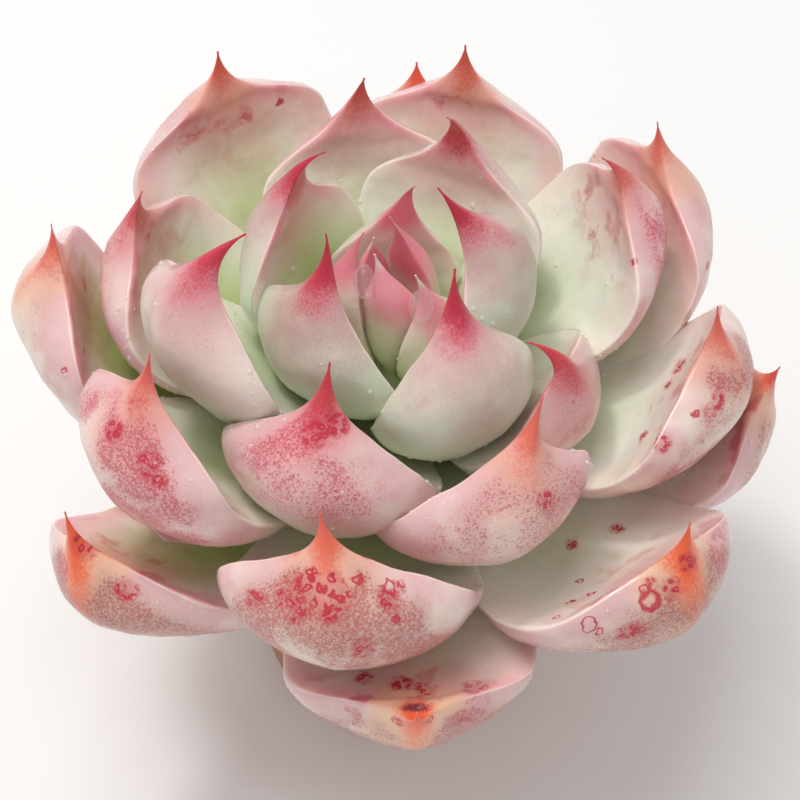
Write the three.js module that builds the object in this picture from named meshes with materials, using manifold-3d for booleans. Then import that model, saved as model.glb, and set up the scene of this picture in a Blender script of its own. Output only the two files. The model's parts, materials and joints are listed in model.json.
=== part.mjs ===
// A potted variegated echeveria: one rosette of thick, spoon-shaped leaves with spine tips, on a short
// bare stem that stands in the soil of a small plain pot.
// Millimetres, +Z up. The origin is the centre of the pot's flat underside. The viewer looks from -Y.
import * as THREE from "three";
import { mergeVertices } from "three/addons/utils/BufferGeometryUtils.js";
import Module from "manifold-3d";

const wasm = await Module();
wasm.setup();

// Pot
const POT_HEIGHT = 42;
const POT_FOOT_RADIUS = 21;
const POT_BODY_RADIUS = 26.6; // just under the rim band
const POT_RIM_RADIUS = 29;
const POT_RIM_BAND = 7;
const POT_WALL = 2.6;
const POT_FLOOR = 3.2;
const DRAIN_HOLES = 3;
const DRAIN_RADIUS = 2;
const DRAIN_CIRCLE = 10;
const POT_SIDES = 40;

// Soil and the bare stem that stands in it
const SOIL_GAP = 0.3;
const SOIL_DEPTH_BELOW_RIM = 4;
const SOIL_MOUND = 1.6;
const SOIL_LUMP = 0.35;
const SOIL_RINGS = 5;
const SOIL_SIDES = 30;
const STEM_RADIUS = 4.4;
const STEM_ROOT = 12; // how deep it stands in its hole
const STEM_SCAR = 0.35; // height of the rings that fallen leaves left
const STEM_SCARS = 5;
const STEM_SIDES = 14;

// Rosette. Its own zero height is ROSETTE_HEIGHT above the table.
const ROSETTE_HEIGHT = 61;
const GOLDEN_ANGLE = 136.9; // degrees from one leaf to the next
const FIRST_TURN = -49.8; // bearing of leaf 0: 0 is towards the viewer, 90 to the right
const CORE_BOTTOM = -6;
const CORE_OUTLINE = [[7.2, CORE_BOTTOM], [8.2, -3], [8, 0], [6.6, 3], [4.6, 6], [2.4, 9], [0, 10.5]];
const CORE_SIDES = 18;
const NODE_GAP = 0.3;

// Leaf form
const INNER_LENGTH = 0.55; // the flatter inner part of a blade, as a share of its length
const INNER_TURN = 0.3; // and the share of the curl that is in it
const FLARE = 0.6; // half width of the spine, which grows as FLARE * (exp(d / taper) - 1)
const SPINE_BLEND = 2.8; // how sharply the shoulder turns into the spine
const BASE_WIDTH = 0.34; // at the root, as a share of the full half width
const WIDENING_POWER = 1.3;
const SHOULDER_POWER = 2.2;
const SHOULDER_END = 1.03; // where the shoulders would meet, as a share of the length
const BASE_DEPTH = 0.35; // at the root, as a share of the full depth
const DEEPEST = 0.6; // where the full depth is reached, as a share of the length
const DEEPENING_POWER = 1.2;
const KEEL_BLEND = 2.4; // how the depth gives way to the narrowing spine
const KEEL_ROUNDNESS = 1.15;
const KEEL_SHARPENING = 0.35; // how much more pointed the keel gets towards the tip
const RIDGE = 0.9; // height of the soft ridge along each margin
const DISH = 0.9; // how far the upper face sinks between the ridges
const RIDGE_SQUARENESS = 5;
const TIP_RADIUS = 0.35;
const SKEW_POWER = 1.5;
const LEAF_RINGS = 13;
const BUD_RINGS = 9;
const BUD_LEAVES = 7; // the innermost leaves, which have fewer rings
const RING_CROWDING = 1.5; // rings lie closer together towards the tip
const RING_ANGLES = [0, 40, 90, 140, 180, 212, 243, 270, 297, 328];

// One row a leaf, from the bud outwards, read off the photograph by eye:
// lean   degrees added to the leaf's golden-angle bearing
// reach  distance of the blade's end from the axis
// rise   its height
// curl   degrees the blade turns upwards along its length
// width, depth
// point  length of the spine
// pitch  the spine's mean pitch in degrees, 90 is upright
// roll   twist at the tip in degrees
// skew   sideways shift of the tip
const LEAVES = [
  // lean reach rise curl width depth point pitch roll skew
  [0, 0.5, 19, 8, 4.5, 2.5, 3, 90, 0, 0],
  [0, 1.5, 19.5, 10, 5, 3, 3, 95, 0, 0],
  [0, 4, 25, 12, 6, 3.5, 4.5, 95, 0, 0],
  [0, 3.5, 26, 14, 8, 4, 6.5, 96, 0, -2.5],
  [0, 3.5, 27, 16, 9, 4.5, 5, 100, 0, 3],
  [0, 5, 29, 18, 11, 5, 5, 105, 0, 0],
  [-3, 6.5, 25, 22, 11.5, 5.5, 6, 100, 0, -2],
  [-8, 9.5, 29.5, 30, 19, 6.5, 4, 110, 0, -3],
  [-12, 11.5, 32.5, 55, 26, 10, 8, 97, 0, -1],
  [-10, 10.2, 32, 58, 24.5, 9.5, 10.5, 116, -24, 0],
  [0, 15.5, 33.4, 54, 26, 9, 7, 122, 0, -3],
  [10, 17, 30, 76, 23.5, 11.5, 11, 102, 2, 1.2],
  [0, 20.4, 32, 58, 28, 9, 6.5, 115, 0, 1],
  [0, 25.8, 32.3, 66, 29, 9.6, 11, 128, 22, 0],
  [-6, 25.5, 22.3, 72, 28, 10.5, 7, 135, 0, -3],
  [-13, 30, 26.5, 66, 29, 10, 7, 100, 0, -1.5],
  [-1, 25.5, 23.5, 88, 29.5, 12.5, 10, 108, 3, 0],
  [-3, 33.5, 25.3, 74, 30, 9.6, 9.5, 110, -13, 0],
  [0, 35.4, 23.5, 74, 30, 11, 8, 97, 0, 0],
  [-9, 31, 20.3, 86, 28, 11.2, 9.5, 102, 0, 8],
  [-3, 40, 21.5, 76, 33, 11, 8, 85, 0, 0],
  [1, 37.1, 21.3, 88, 29, 13, 11, 100, 6, -2.5],
  [-5, 41, 16, 78, 32, 10.5, 11, 86, -16, 2.5],
  [-3, 43, 20, 74, 33, 11, 10.3, 78, -6, -2],
  [-4, 38.5, 11.5, 98, 33.5, 13.5, 10.5, 102, 3, -4],
  [-14, 43.8, 16.3, 80, 31.5, 10.5, 10, 84, -6, 6],
  [-5, 43, 11.5, 80, 31, 12, 14.5, 80, 14, -4.5],
  [-4, 47.5, 6.5, 72, 32, 12, 10.5, 79, -7, 4.5],
  [-8, 42.5, 13, 60, 31, 11, 9, 78, 0, 0],
  [-10, 44.6, -2, 66, 30, 12.5, 12, 74, 20, -7.5],
  [-12, 48.5, 3, 60, 32, 11.5, 9, 60, 0, 0],
  [0, 43, -1, 48, 31, 10.5, 7, 60, 0, 0],
  [-8, 51.5, -1.5, 54, 34, 13, 3.5, 75, 0, 0],
  [0, 41, -4, 40, 31, 10.5, 7, 60, 0, 0],
  [0, 39, -7, 32, 31, 10.5, 7, 60, 0, 0],
];

// How the leaves' roots, spine taper and widest place change from the bud outwards: [leaf number, value].
const ROOT_HEIGHT = [[0, 7], [8, 5.5], [16, 3], [24, 0], [34, -4]];
const ROOT_RADIUS = [[0, 0.6], [8, 3], [16, 5], [24, 6.5], [34, 6.5]];
const TAPER = [[0, 3], [6, 4], [8, 5.2], [11, 5], [16, 4.2], [24, 3.1], [34, 3]];
const WIDEST = [[0, 0.5], [8, 0.46], [16, 0.52], [24, 0.63], [34, 0.64]];

const { sin, cos, atan2, hypot, exp, pow, sqrt, sign, abs, min, max, PI } = Math;
const radians = (degrees) => (degrees * PI) / 180;
const clamp = (v, low, high) => min(high, max(low, v));

// The value at k on a line through [number, value] pairs.
function along(pairs, k) {
  for (let i = 1; i < pairs.length; i++) {
    const [k0, v0] = pairs[i - 1];
    const [k1, v1] = pairs[i];
    if (k <= k1) return v0 + ((v1 - v0) * (k - k0)) / (k1 - k0);
  }
  return pairs[pairs.length - 1][1];
}

// A chain of arcs, each {length, turn}, followed from pitch start: where it is at distance s.
function follow(arcs, start, s) {
  let x = 0;
  let z = 0;
  let pitch = start;
  let from = 0;
  for (const { length, turn } of arcs) {
    const u = clamp(s - from, 0, length);
    const bend = (abs(turn) > 1e-6 ? turn : 1e-6) / length;
    x += (sin(pitch + bend * u) - sin(pitch)) / bend;
    z += (cos(pitch) - cos(pitch + bend * u)) / bend;
    pitch += bend * u;
    from += length;
    if (s <= from) break;
  }
  return { x, z, pitch };
}

// The midrib: two arcs for the blade and one for the spine, from the root to the blade's end.
function midrib(leaf) {
  const curl = radians(leaf.curl);
  const blade = (length) => [
    { length: INNER_LENGTH * length, turn: INNER_TURN * curl },
    { length: (1 - INNER_LENGTH) * length, turn: (1 - INNER_TURN) * curl },
  ];
  const unit = follow(blade(1), 0, 1);
  const out = leaf.reach - leaf.rootRadius;
  const up = leaf.rise - leaf.rootHeight;
  const length = hypot(out, up) / hypot(unit.x, unit.z);
  const start = atan2(up, out) - atan2(unit.z, unit.x);
  const spineTurn = 2 * (radians(leaf.pitch) - start - curl);
  const arcs = [...blade(length), { length: leaf.point, turn: spineTurn }];
  return { arcs, start, total: length + leaf.point };
}

// The smaller of two widths, with a round passage from one to the other.
function narrower(a, b, power) {
  return pow(pow(a, -power) + pow(b, -power), -1 / power);
}

// Half width at distance s: a blade with round shoulders, drawn out to a concave spine.
function halfWidth(leaf, total, s) {
  const t = s / total;
  const half = leaf.width / 2;
  const spine = FLARE * (exp(min(8, (total - s) / leaf.taper)) - 1) + 1e-6;
  const swell = sin((PI / 2) * min(1, t / leaf.widest));
  const rising = BASE_WIDTH + (1 - BASE_WIDTH) * pow(swell, WIDENING_POWER);
  const past = clamp((t - leaf.widest) / (SHOULDER_END - leaf.widest), 0, 1);
  const blade = half * (t < leaf.widest ? rising : sqrt(1 - pow(past, SHOULDER_POWER)));
  return max(TIP_RADIUS, narrower(spine, blade, SPINE_BLEND));
}

// Depth of the keeled underside.
function keelDepth(leaf, total, s, w) {
  const swell = sin((PI / 2) * min(1, s / total / DEEPEST));
  const full = leaf.depth * (BASE_DEPTH + (1 - BASE_DEPTH) * pow(swell, DEEPENING_POWER));
  return narrower(w, full, KEEL_BLEND);
}

// One point of a cross-section, as [across, out of the upper face].
function sectionPoint(degrees, t, w, depth) {
  const c = cos(radians(degrees));
  const s = sin(radians(degrees));
  if (degrees <= 180) {
    const ridge = RIDGE * min(1, w / 6) * min(1, 0.25 + t);
    const dish = DISH * pow(min(1, w / 9), 2) * min(1, 2.2 * t);
    return [w * c, ridge * sqrt(max(0, 1 - pow(abs(c), RIDGE_SQUARENESS))) - dish * s * s];
  }
  const keel = 1 + KEEL_SHARPENING * clamp((t - 0.35) / 0.5, 0, 1);
  return [w * sign(c) * pow(abs(c), keel), -depth * pow(abs(s), KEEL_ROUNDNESS)];
}

// A closed body from rings of points, with a flat end at each end ring.
function bodyFromRings(rings) {
  const n = rings[0].length;
  const points = rings.flat();
  const triangles = [];
  for (let i = 0; i + 1 < rings.length; i++) {
    for (let j = 0; j < n; j++) {
      const a = i * n + j;
      const b = i * n + ((j + 1) % n);
      triangles.push(a, b, a + n, b, b + n, a + n);
    }
  }
  const last = (rings.length - 1) * n;
  for (let j = 1; j + 1 < n; j++) {
    triangles.push(0, j + 1, j);
    triangles.push(last, last + j, last + j + 1);
  }
  return new wasm.Manifold(
    new wasm.Mesh({
      numProp: 3,
      vertProperties: new Float32Array(points.flat()),
      triVerts: new Uint32Array(triangles),
    }),
  );
}

function leafBody(k) {
  const [lean, reach, rise, curl, width, depth, point, pitch, roll, skew] = LEAVES[k];
  const leaf = { reach, rise, curl, width, depth, point, pitch };
  leaf.rootHeight = along(ROOT_HEIGHT, k);
  leaf.rootRadius = along(ROOT_RADIUS, k);
  leaf.taper = along(TAPER, k);
  leaf.widest = along(WIDEST, k);
  const bearing = radians(FIRST_TURN + GOLDEN_ANGLE * k + lean);
  const outward = new THREE.Vector3(sin(bearing), -cos(bearing), 0);
  const sideways = new THREE.Vector3(cos(bearing), sin(bearing), 0);
  const { arcs, start, total } = midrib(leaf);
  const count = k < BUD_LEAVES ? BUD_RINGS : LEAF_RINGS;
  const rings = [];
  for (let i = 0; i < count; i++) {
    const t = 1 - pow(1 - i / (count - 1), RING_CROWDING);
    const s = total * t;
    const here = follow(arcs, start, s);
    const w = halfWidth(leaf, total, s);
    const d = keelDepth(leaf, total, s, w);
    const face = outward.clone().multiplyScalar(-sin(here.pitch));
    face.z = cos(here.pitch);
    const twist = radians(roll) * t;
    const across = sideways.clone().multiplyScalar(cos(twist)).addScaledVector(face, sin(twist));
    const upward = face.clone().multiplyScalar(cos(twist)).addScaledVector(sideways, -sin(twist));
    const middle = outward.clone().multiplyScalar(leaf.rootRadius + here.x);
    middle.z = ROSETTE_HEIGHT + leaf.rootHeight + here.z;
    middle.addScaledVector(across, skew * pow(clamp((t - 0.5) / 0.5, 0, 1), SKEW_POWER));
    rings.push(
      RING_ANGLES.map((angle) => {
        const [x, z] = sectionPoint(angle, t, w, d);
        return middle.clone().addScaledVector(across, x).addScaledVector(upward, z).toArray();
      }),
    );
  }
  return bodyFromRings(rings);
}

// A body of revolution from [radius, height] pairs, bottom to top round the outside.
function turned(profile, sides) {
  const points = profile.map(([r, z]) => new THREE.Vector2(r, z));
  const lathe = new THREE.LatheGeometry(points, sides);
  lathe.rotateX(PI / 2);
  return solidOf(lathe);
}

// The geometry as a solid for the booleans.
function solidOf(geometry) {
  geometry.deleteAttribute("normal");
  geometry.deleteAttribute("uv");
  const merged = mergeVertices(geometry, 1e-4);
  return new wasm.Manifold(
    new wasm.Mesh({
      numProp: 3,
      vertProperties: merged.attributes.position.array,
      triVerts: new Uint32Array(merged.index.array),
    }),
  );
}

// The outer skin of the largest body: small hollows that the joining sealed are filled by this.
function outerBody(solid) {
  return solid.decompose().reduce((best, body) => (body.volume() > best.volume() ? body : best));
}

function meshOf(name, solid, color, roughness) {
  const { numProp, vertProperties, triVerts } = solid.getMesh();
  const positions = new Float32Array((vertProperties.length / numProp) * 3);
  for (let i = 0; i * numProp < vertProperties.length; i++) {
    positions.set(vertProperties.subarray(i * numProp, i * numProp + 3), i * 3);
  }
  const geometry = new THREE.BufferGeometry();
  geometry.setAttribute("position", new THREE.BufferAttribute(positions, 3));
  geometry.setIndex(new THREE.BufferAttribute(triVerts, 1));
  geometry.computeVertexNormals();
  const material = new THREE.MeshStandardMaterial({ color, roughness, metalness: 0, flatShading: true });
  const mesh = new THREE.Mesh(geometry, material);
  mesh.name = name;
  return mesh;
}

// Inner radius of the pot's wall at height z.
function insideRadius(z) {
  const foot = POT_FOOT_RADIUS - POT_WALL;
  const top = POT_BODY_RADIUS - POT_WALL;
  return foot + ((top - foot) * (z - POT_FLOOR)) / (POT_HEIGHT - POT_RIM_BAND - POT_FLOOR);
}

function pot() {
  const rimFoot = POT_HEIGHT - POT_RIM_BAND;
  let body = turned(
    [
      [0, 0],
      [POT_FOOT_RADIUS - 0.8, 0],
      [POT_FOOT_RADIUS, 0.8],
      [POT_BODY_RADIUS, rimFoot - 0.8],
      [POT_RIM_RADIUS - 0.6, rimFoot],
      [POT_RIM_RADIUS, rimFoot + 0.6],
      [POT_RIM_RADIUS, POT_HEIGHT - 0.8],
      [POT_RIM_RADIUS - 0.8, POT_HEIGHT],
      [insideRadius(POT_HEIGHT) + 0.8, POT_HEIGHT],
      [insideRadius(POT_HEIGHT), POT_HEIGHT - 0.8],
      [insideRadius(POT_FLOOR + 1), POT_FLOOR + 1],
      [insideRadius(POT_FLOOR + 1) - 1, POT_FLOOR],
      [0, POT_FLOOR],
    ],
    POT_SIDES,
  );
  for (let i = 0; i < DRAIN_HOLES; i++) {
    const turn = (2 * PI * (i + 0.25)) / DRAIN_HOLES;
    const hole = new THREE.CylinderGeometry(DRAIN_RADIUS, DRAIN_RADIUS, POT_FLOOR + 2, 16);
    hole.rotateX(PI / 2);
    hole.translate(DRAIN_CIRCLE * cos(turn), DRAIN_CIRCLE * sin(turn), POT_FLOOR / 2);
    body = body.subtract(solidOf(hole));
  }
  return body;
}

const soilEdge = POT_HEIGHT - SOIL_DEPTH_BELOW_RIM;
const stemHoleFloor = soilEdge + SOIL_MOUND - STEM_ROOT;

// Soil that fills the pot, mounded and a little lumpy, with a plain hole for the stem.
function soil() {
  const bottom = POT_FLOOR + SOIL_GAP;
  const edgeRadius = insideRadius(soilEdge) - SOIL_GAP;
  const bottomRadius = insideRadius(POT_FLOOR + 1) - 1 - SOIL_GAP;
  const rings = [];
  const ringAt = (radius, height) => {
    const ring = [];
    for (let j = 0; j < SOIL_SIDES; j++) {
      const turn = (2 * PI * j) / SOIL_SIDES;
      ring.push([radius * cos(turn), radius * sin(turn), height(radius, turn)]);
    }
    rings.push(ring);
  };
  ringAt(bottomRadius, () => bottom);
  ringAt(insideRadius(bottom + 2) - SOIL_GAP, () => bottom + 2);
  ringAt(edgeRadius, () => soilEdge);
  for (let i = 1; i <= SOIL_RINGS; i++) {
    const radius = edgeRadius + ((STEM_RADIUS - 1 - edgeRadius) * i) / SOIL_RINGS;
    ringAt(radius, (r, turn) => {
      const mound = SOIL_MOUND * (1 - pow(r / edgeRadius, 2));
      return soilEdge + mound + SOIL_LUMP * sin(5 * turn + 1.9 * i) * cos(3 * turn - 2.3 * i);
    });
  }
  const hole = turned(
    [
      [0, stemHoleFloor],
      [STEM_RADIUS + STEM_SCAR + NODE_GAP, stemHoleFloor],
      [STEM_RADIUS + STEM_SCAR + NODE_GAP, POT_HEIGHT + 9],
      [0, POT_HEIGHT + 9],
    ],
    24,
  );
  return outerBody(bodyFromRings(rings).subtract(hole));
}

// The bare woody stem, ringed with the scars of fallen leaves.
function stem() {
  const foot = stemHoleFloor + NODE_GAP;
  const top = ROSETTE_HEIGHT + CORE_BOTTOM - NODE_GAP;
  const profile = [[0, foot], [STEM_RADIUS - 0.6, foot], [STEM_RADIUS, foot + 0.6]];
  for (let i = 1; i <= STEM_SCARS; i++) {
    const z = foot + ((top - foot) * i) / (STEM_SCARS + 1);
    profile.push([STEM_RADIUS, z - 1.1], [STEM_RADIUS + STEM_SCAR, z], [STEM_RADIUS, z + 0.9]);
  }
  profile.push([STEM_RADIUS, top], [0, top]);
  return turned(profile, STEM_SIDES);
}

// All the leaves, grown together with the green core that they stand on.
function rosette() {
  const outline = [[0, CORE_BOTTOM], ...CORE_OUTLINE];
  const core = turned(outline.map(([r, z]) => [r, ROSETTE_HEIGHT + z]), CORE_SIDES);
  const leaves = LEAVES.map((row, k) => leafBody(k));
  return outerBody(wasm.Manifold.union([core, ...leaves]));
}

const group = new THREE.Group();
group.add(meshOf("pot", pot(), 0xb5684a, 0.55));
group.add(meshOf("soil", soil(), 0x4a3a2e, 0.95));
group.add(meshOf("stem", stem(), 0x8a7558, 0.85));
group.add(meshOf("rosette", rosette(), 0xdcc6bd, 0.42));

export default group;
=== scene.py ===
"""A potted variegated echeveria: its finished looks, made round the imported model. Metres, +Z up."""
import json
from math import cos, pi, radians, sin

import bmesh
import bpy
import numpy
from mathutils import Euler, Matrix, Vector, noise
from mathutils.bvhtree import BVHTree

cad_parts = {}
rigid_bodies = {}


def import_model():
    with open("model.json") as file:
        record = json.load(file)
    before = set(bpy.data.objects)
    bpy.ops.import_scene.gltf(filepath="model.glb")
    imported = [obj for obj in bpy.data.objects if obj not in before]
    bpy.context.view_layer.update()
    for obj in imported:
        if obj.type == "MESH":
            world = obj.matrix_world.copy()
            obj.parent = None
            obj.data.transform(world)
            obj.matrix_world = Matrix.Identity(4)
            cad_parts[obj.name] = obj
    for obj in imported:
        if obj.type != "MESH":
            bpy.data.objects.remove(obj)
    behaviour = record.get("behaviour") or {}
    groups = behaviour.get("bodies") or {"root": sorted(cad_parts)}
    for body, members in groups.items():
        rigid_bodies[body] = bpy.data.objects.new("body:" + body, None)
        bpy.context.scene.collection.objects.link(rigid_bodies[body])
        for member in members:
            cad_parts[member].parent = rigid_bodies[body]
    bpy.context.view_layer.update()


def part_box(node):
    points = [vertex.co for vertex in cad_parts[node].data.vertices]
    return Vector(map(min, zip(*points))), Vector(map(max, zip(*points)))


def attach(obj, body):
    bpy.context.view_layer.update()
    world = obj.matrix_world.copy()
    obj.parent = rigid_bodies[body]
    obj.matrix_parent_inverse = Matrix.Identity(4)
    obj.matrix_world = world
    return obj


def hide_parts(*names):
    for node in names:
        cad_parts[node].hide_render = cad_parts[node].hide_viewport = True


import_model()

MM = 0.001

bl_info = {
    "name": "Potted echeveria",
    "version": (1, 0, 0),
    "blender": (4, 5, 0),
    "location": "3D Viewport > Sidebar > Echeveria",
    "description": "Makes a potted variegated echeveria with spine-tipped leaves and dew",
    "category": "Add Mesh",
}

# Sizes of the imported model, in metres
POT_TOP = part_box("pot")[1].z
POT_RIM_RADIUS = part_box("pot")[1].x
SOIL_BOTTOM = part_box("soil")[0].z
STEM_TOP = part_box("stem")[1].z
STEM_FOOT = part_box("stem")[0].z
CORE_DEPTH = 6 * MM  # the core's foot lies this far under the rosette's own zero height
NODE_GAP = 0.3 * MM
ROSETTE_HEIGHT = STEM_TOP + NODE_GAP + CORE_DEPTH

# The camera, found from the leaves' places in the photograph
SUBJECT = Vector((0, 0, ROSETTE_HEIGHT + 18 * MM))  # a point in the middle of the leaves
DISTANCE = 270 * MM
ELEVATION = 50  # degrees that the line to the subject rises
TILT, PAN = -2.61, -0.29  # degrees: the picture's middle lies this far under and beside the subject
LENS, SENSOR = 89.9, 36  # focal length and width of the picture in the camera, in millimetres
PHOTO_SIDE = 800  # pixels

# One row a leaf, from the bud outwards, read off the photograph. Millimetres and degrees:
# lean   added to the leaf's golden-angle bearing
# reach  distance of the blade's end from the axis
# rise   its height over the rosette's zero height
# curl   how far the blade turns upwards along its length
# width, depth
# point  length of the spine
# pitch  the spine's mean pitch, 90 is upright
# roll   twist at the tip
# skew   sideways shift of the tip
LEAVES = [
    # lean reach rise curl width depth point pitch roll skew
    (0, 0.5, 19, 8, 4.5, 2.5, 3, 90, 0, 0),
    (0, 1.5, 19.5, 10, 5, 3, 3, 95, 0, 0),
    (0, 4, 25, 12, 6, 3.5, 4.5, 95, 0, 0),
    (0, 3.5, 26, 14, 8, 4, 6.5, 96, 0, -2.5),
    (0, 3.5, 27, 16, 9, 4.5, 5, 100, 0, 3),
    (0, 5, 29, 18, 11, 5, 5, 105, 0, 0),
    (-3, 6.5, 25, 22, 11.5, 5.5, 6, 100, 0, -2),
    (-8, 9.5, 29.5, 30, 19, 6.5, 4, 110, 0, -3),
    (-12, 11.5, 32.5, 55, 26, 10, 8, 97, 0, -1),
    (-10, 10.2, 32, 58, 24.5, 9.5, 10.5, 116, -24, 0),
    (0, 15.5, 33.4, 54, 26, 9, 7, 122, 0, -3),
    (10, 17, 30, 76, 23.5, 11.5, 11, 102, 2, 1.2),
    (0, 20.4, 32, 58, 28, 9, 6.5, 115, 0, 1),
    (0, 25.8, 32.3, 66, 29, 9.6, 11, 128, 22, 0),
    (-6, 25.5, 22.3, 72, 28, 10.5, 7, 135, 0, -3),
    (-13, 30, 26.5, 66, 29, 10, 7, 100, 0, -1.5),
    (-1, 25.5, 23.5, 88, 29.5, 12.5, 10, 108, 3, 0),
    (-3, 33.5, 25.3, 74, 30, 9.6, 9.5, 110, -13, 0),
    (0, 35.4, 23.5, 74, 30, 11, 8, 97, 0, 0),
    (-9, 31, 20.3, 86, 28, 11.2, 9.5, 102, 0, 8),
    (-3, 40, 21.5, 76, 33, 11, 8, 85, 0, 0),
    (1, 37.1, 21.3, 88, 29, 13, 11, 100, 6, -2.5),
    (-5, 41, 16, 78, 32, 10.5, 11, 86, -16, 2.5),
    (-3, 43, 20, 74, 33, 11, 10.3, 78, -6, -2),
    (-4, 38.5, 11.5, 98, 33.5, 13.5, 10.5, 102, 3, -4),
    (-14, 43.8, 16.3, 80, 31.5, 10.5, 10, 84, -6, 6),
    (-5, 43, 11.5, 80, 31, 12, 14.5, 80, 14, -4.5),
    (-4, 47.5, 6.5, 72, 32, 12, 10.5, 79, -7, 4.5),
    (-8, 42.5, 13, 60, 31, 11, 9, 78, 0, 0),
    (-10, 44.6, -2, 66, 30, 12.5, 12, 74, 20, -7.5),
    (-12, 48.5, 3, 60, 32, 11.5, 9, 60, 0, 0),
    (0, 43, -1, 48, 31, 10.5, 7, 60, 0, 0),
    (-8, 51.5, -1.5, 54, 34, 13, 3.5, 75, 0, 0),
    (0, 41, -4, 40, 31, 10.5, 7, 60, 0, 0),
    (0, 39, -7, 32, 31, 10.5, 7, 60, 0, 0),
]

# How each leaf's skin differs, one row a leaf as above, each number from 0 to 1:
# warm     how orange the spine is, 0 is crimson
# speckle  how dense the flecks are
# olive    how dull the upper face's green is
# pale     how pale the spine is, for the bud, and how much painted light brightens the bud's under faces
LOOKS = [
    # warm speckle olive pale
    (0, 0, 0, 1),
    (0, 0, 0, 1),
    (0, 0, 0, 1),
    (0, 0, 0, 1),
    (0, 0.1, 0, 0.7),
    (0, 0.1, 0, 0.65),
    (0, 0, 0, 1),
    (0, 0.1, 0, 0.65),
    (0, 0.35, 0.1, 0),
    (0, 0.35, 0, 0),
    (0, 0.1, 0.5, 0),
    (0, 0.4, 0, 0),
    (0.1, 0.1, 0, 0),
    (0.05, 0.45, 0, 0),
    (0.15, 0.5, 0, 0),
    (0.3, 0.2, 0.2, 0),
    (0.15, 0.85, 0.2, 0),
    (0.4, 0.9, 0, 0),
    (0.25, 0.6, 0.6, 0),
    (0.6, 0.6, 0.1, 0),
    (0.6, 0.25, 0.4, 0),
    (0.5, 0.9, 0.3, 0),
    (0.65, 0.95, 0, 0),
    (0.6, 0.5, 0.55, 0),
    (0.75, 1, 0.3, 0),
    (0.65, 0.35, 0.4, 0),
    (0.75, 0.4, 1, 0),
    (1, 0.8, 0.1, 0),
    (0.8, 0.4, 0.5, 0),
    (1, 1, 0.9, 0),
    (0.8, 1, 0.4, 0),
    (0.8, 0.6, 0.4, 0),
    (1, 1, 0.5, 0),
    (0.8, 0.6, 0.4, 0),
    (0.8, 0.6, 0.4, 0),
]

# The markings, picked off the photograph. A row starts with the pixel of the marking's middle,
# across and down, and then gives its sizes in millimetres: a blotch's radius, or a ring's radius and half
# its band's width.

# Crimson blotches
BLOTCHES = [
    # leaf 24
    (311, 577, 1.5), (296, 590, 2.2), (298, 612, 1.6), (284, 598, 1.4),
    (320, 594, 1.7), (337, 600, 2.3), (335, 580, 1.2), (328, 611, 1.5),
    (255, 598, 1.3), (387, 600, 1.5), (402, 588, 1), (365, 650, 1.8),
    # leaf 27
    (648, 584, 0.9), (573, 543, 1), (617, 530, 1.1), (630, 632, 1.6),
    (672, 590, 1.6), (690, 562, 1.6),
    # leaf 22
    (679, 367, 1.5), (668, 385, 1), (662, 445, 1.3), (643, 437, 1),
    (718, 402, 1.4), (650, 410, 0.8),
    # leaf 32
    (400, 683, 1.8), (425, 690, 1.5), (365, 678, 1.5), (398, 722, 1.1),
    (355, 712, 0.9),
    # leaf 29
    (82, 545, 1.9), (125, 590, 1.7),
    # leaf 21
    (112, 430, 1.6), (150, 465, 1.9), (160, 480, 1.3),
    # leaf 19
    (545, 500, 1.3),
    # leaf 26
    (84, 282, 0.8),
    # leaf 25
    (707, 267, 0.9),
    # leaf 16
    (315, 435, 2), (338, 425, 1.9),
]
# Paler ones on the upper faces
FAINT_BLOTCHES = [
    # leaf 23
    (184, 142, 1.8), (196, 137, 1.5), (205, 131, 1.6), (220, 123, 1.9),
    (246, 118, 2.2),
    # leaf 20
    (444, 101, 2.2), (456, 97, 2.4), (466, 102, 2),
    # leaf 12
    (446, 141, 3.4), (454, 147, 2.8),
    # leaf 25
    (652, 190, 1.5), (664, 205, 1.4), (673, 220, 1.6),
    # leaf 17
    (588, 198, 1.7), (590, 214, 1.9), (593, 234, 2.1), (597, 256, 1.8),
    # leaf 18
    (152, 222, 2), (148, 238, 1.6),
]
# Crimson rings
RINGS = [
    # leaf 24
    (390, 588, 0.85, 0.3), (397, 618, 0.4, 0.3), (358, 579, 0.5, 0.26),
    # leaf 27
    (650, 601, 1.15, 0.5), (645, 590, 0.5, 0.25), (589, 625, 1.05, 0.2),
    (600, 632, 0.45, 0.18), (592, 594, 0.45, 0.24), (570, 602, 0.5, 0.18),
    (557, 617, 0.55, 0.18), (580, 581, 0.45, 0.25),
    # leaf 22
    (696, 413, 0.3, 0.35),
    # leaf 32
    (430, 720, 0.55, 0.24),
    # leaf 23
    (280, 102, 0.3, 0.5),
    # leaf 17
    (633, 262, 0.3, 0.35),
    # leaf 26
    (64, 370, 0.5, 0.25), (84, 350, 0.3, 0.25),
]
# The scar at the end of leaf 32: its middle's pixel, and its half sizes
SCAR_PIXEL, SCAR_HALF = (415, 708), (1.6, 1.1, 0.65)

# Large drops (x, y, z, then the way they bulge, then width, length and half height), in millimetres:
# two at the bud, one on leaf 16, and a small one in the scar that is there for the scar's glint, a painted
# highlight
DROPS = [
    (-3.75, -3.9, 89.2, 0, -0.64, 0.77, 2.7, 4.6, 1.3),
    (3.6, -6.4, 87.2, -0.25, -0.85, 0.45, 3.4, 4.6, 0.6),
    (-18.9, -25.9, 80.2, -0.72, -0.49, 0.49, 4.2, 3.4, 1.0),
    (3.2, -49.7, 58.5, 0.01, 0.45, 0.89, 1.0, 0.7, 0.5),
]

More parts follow.
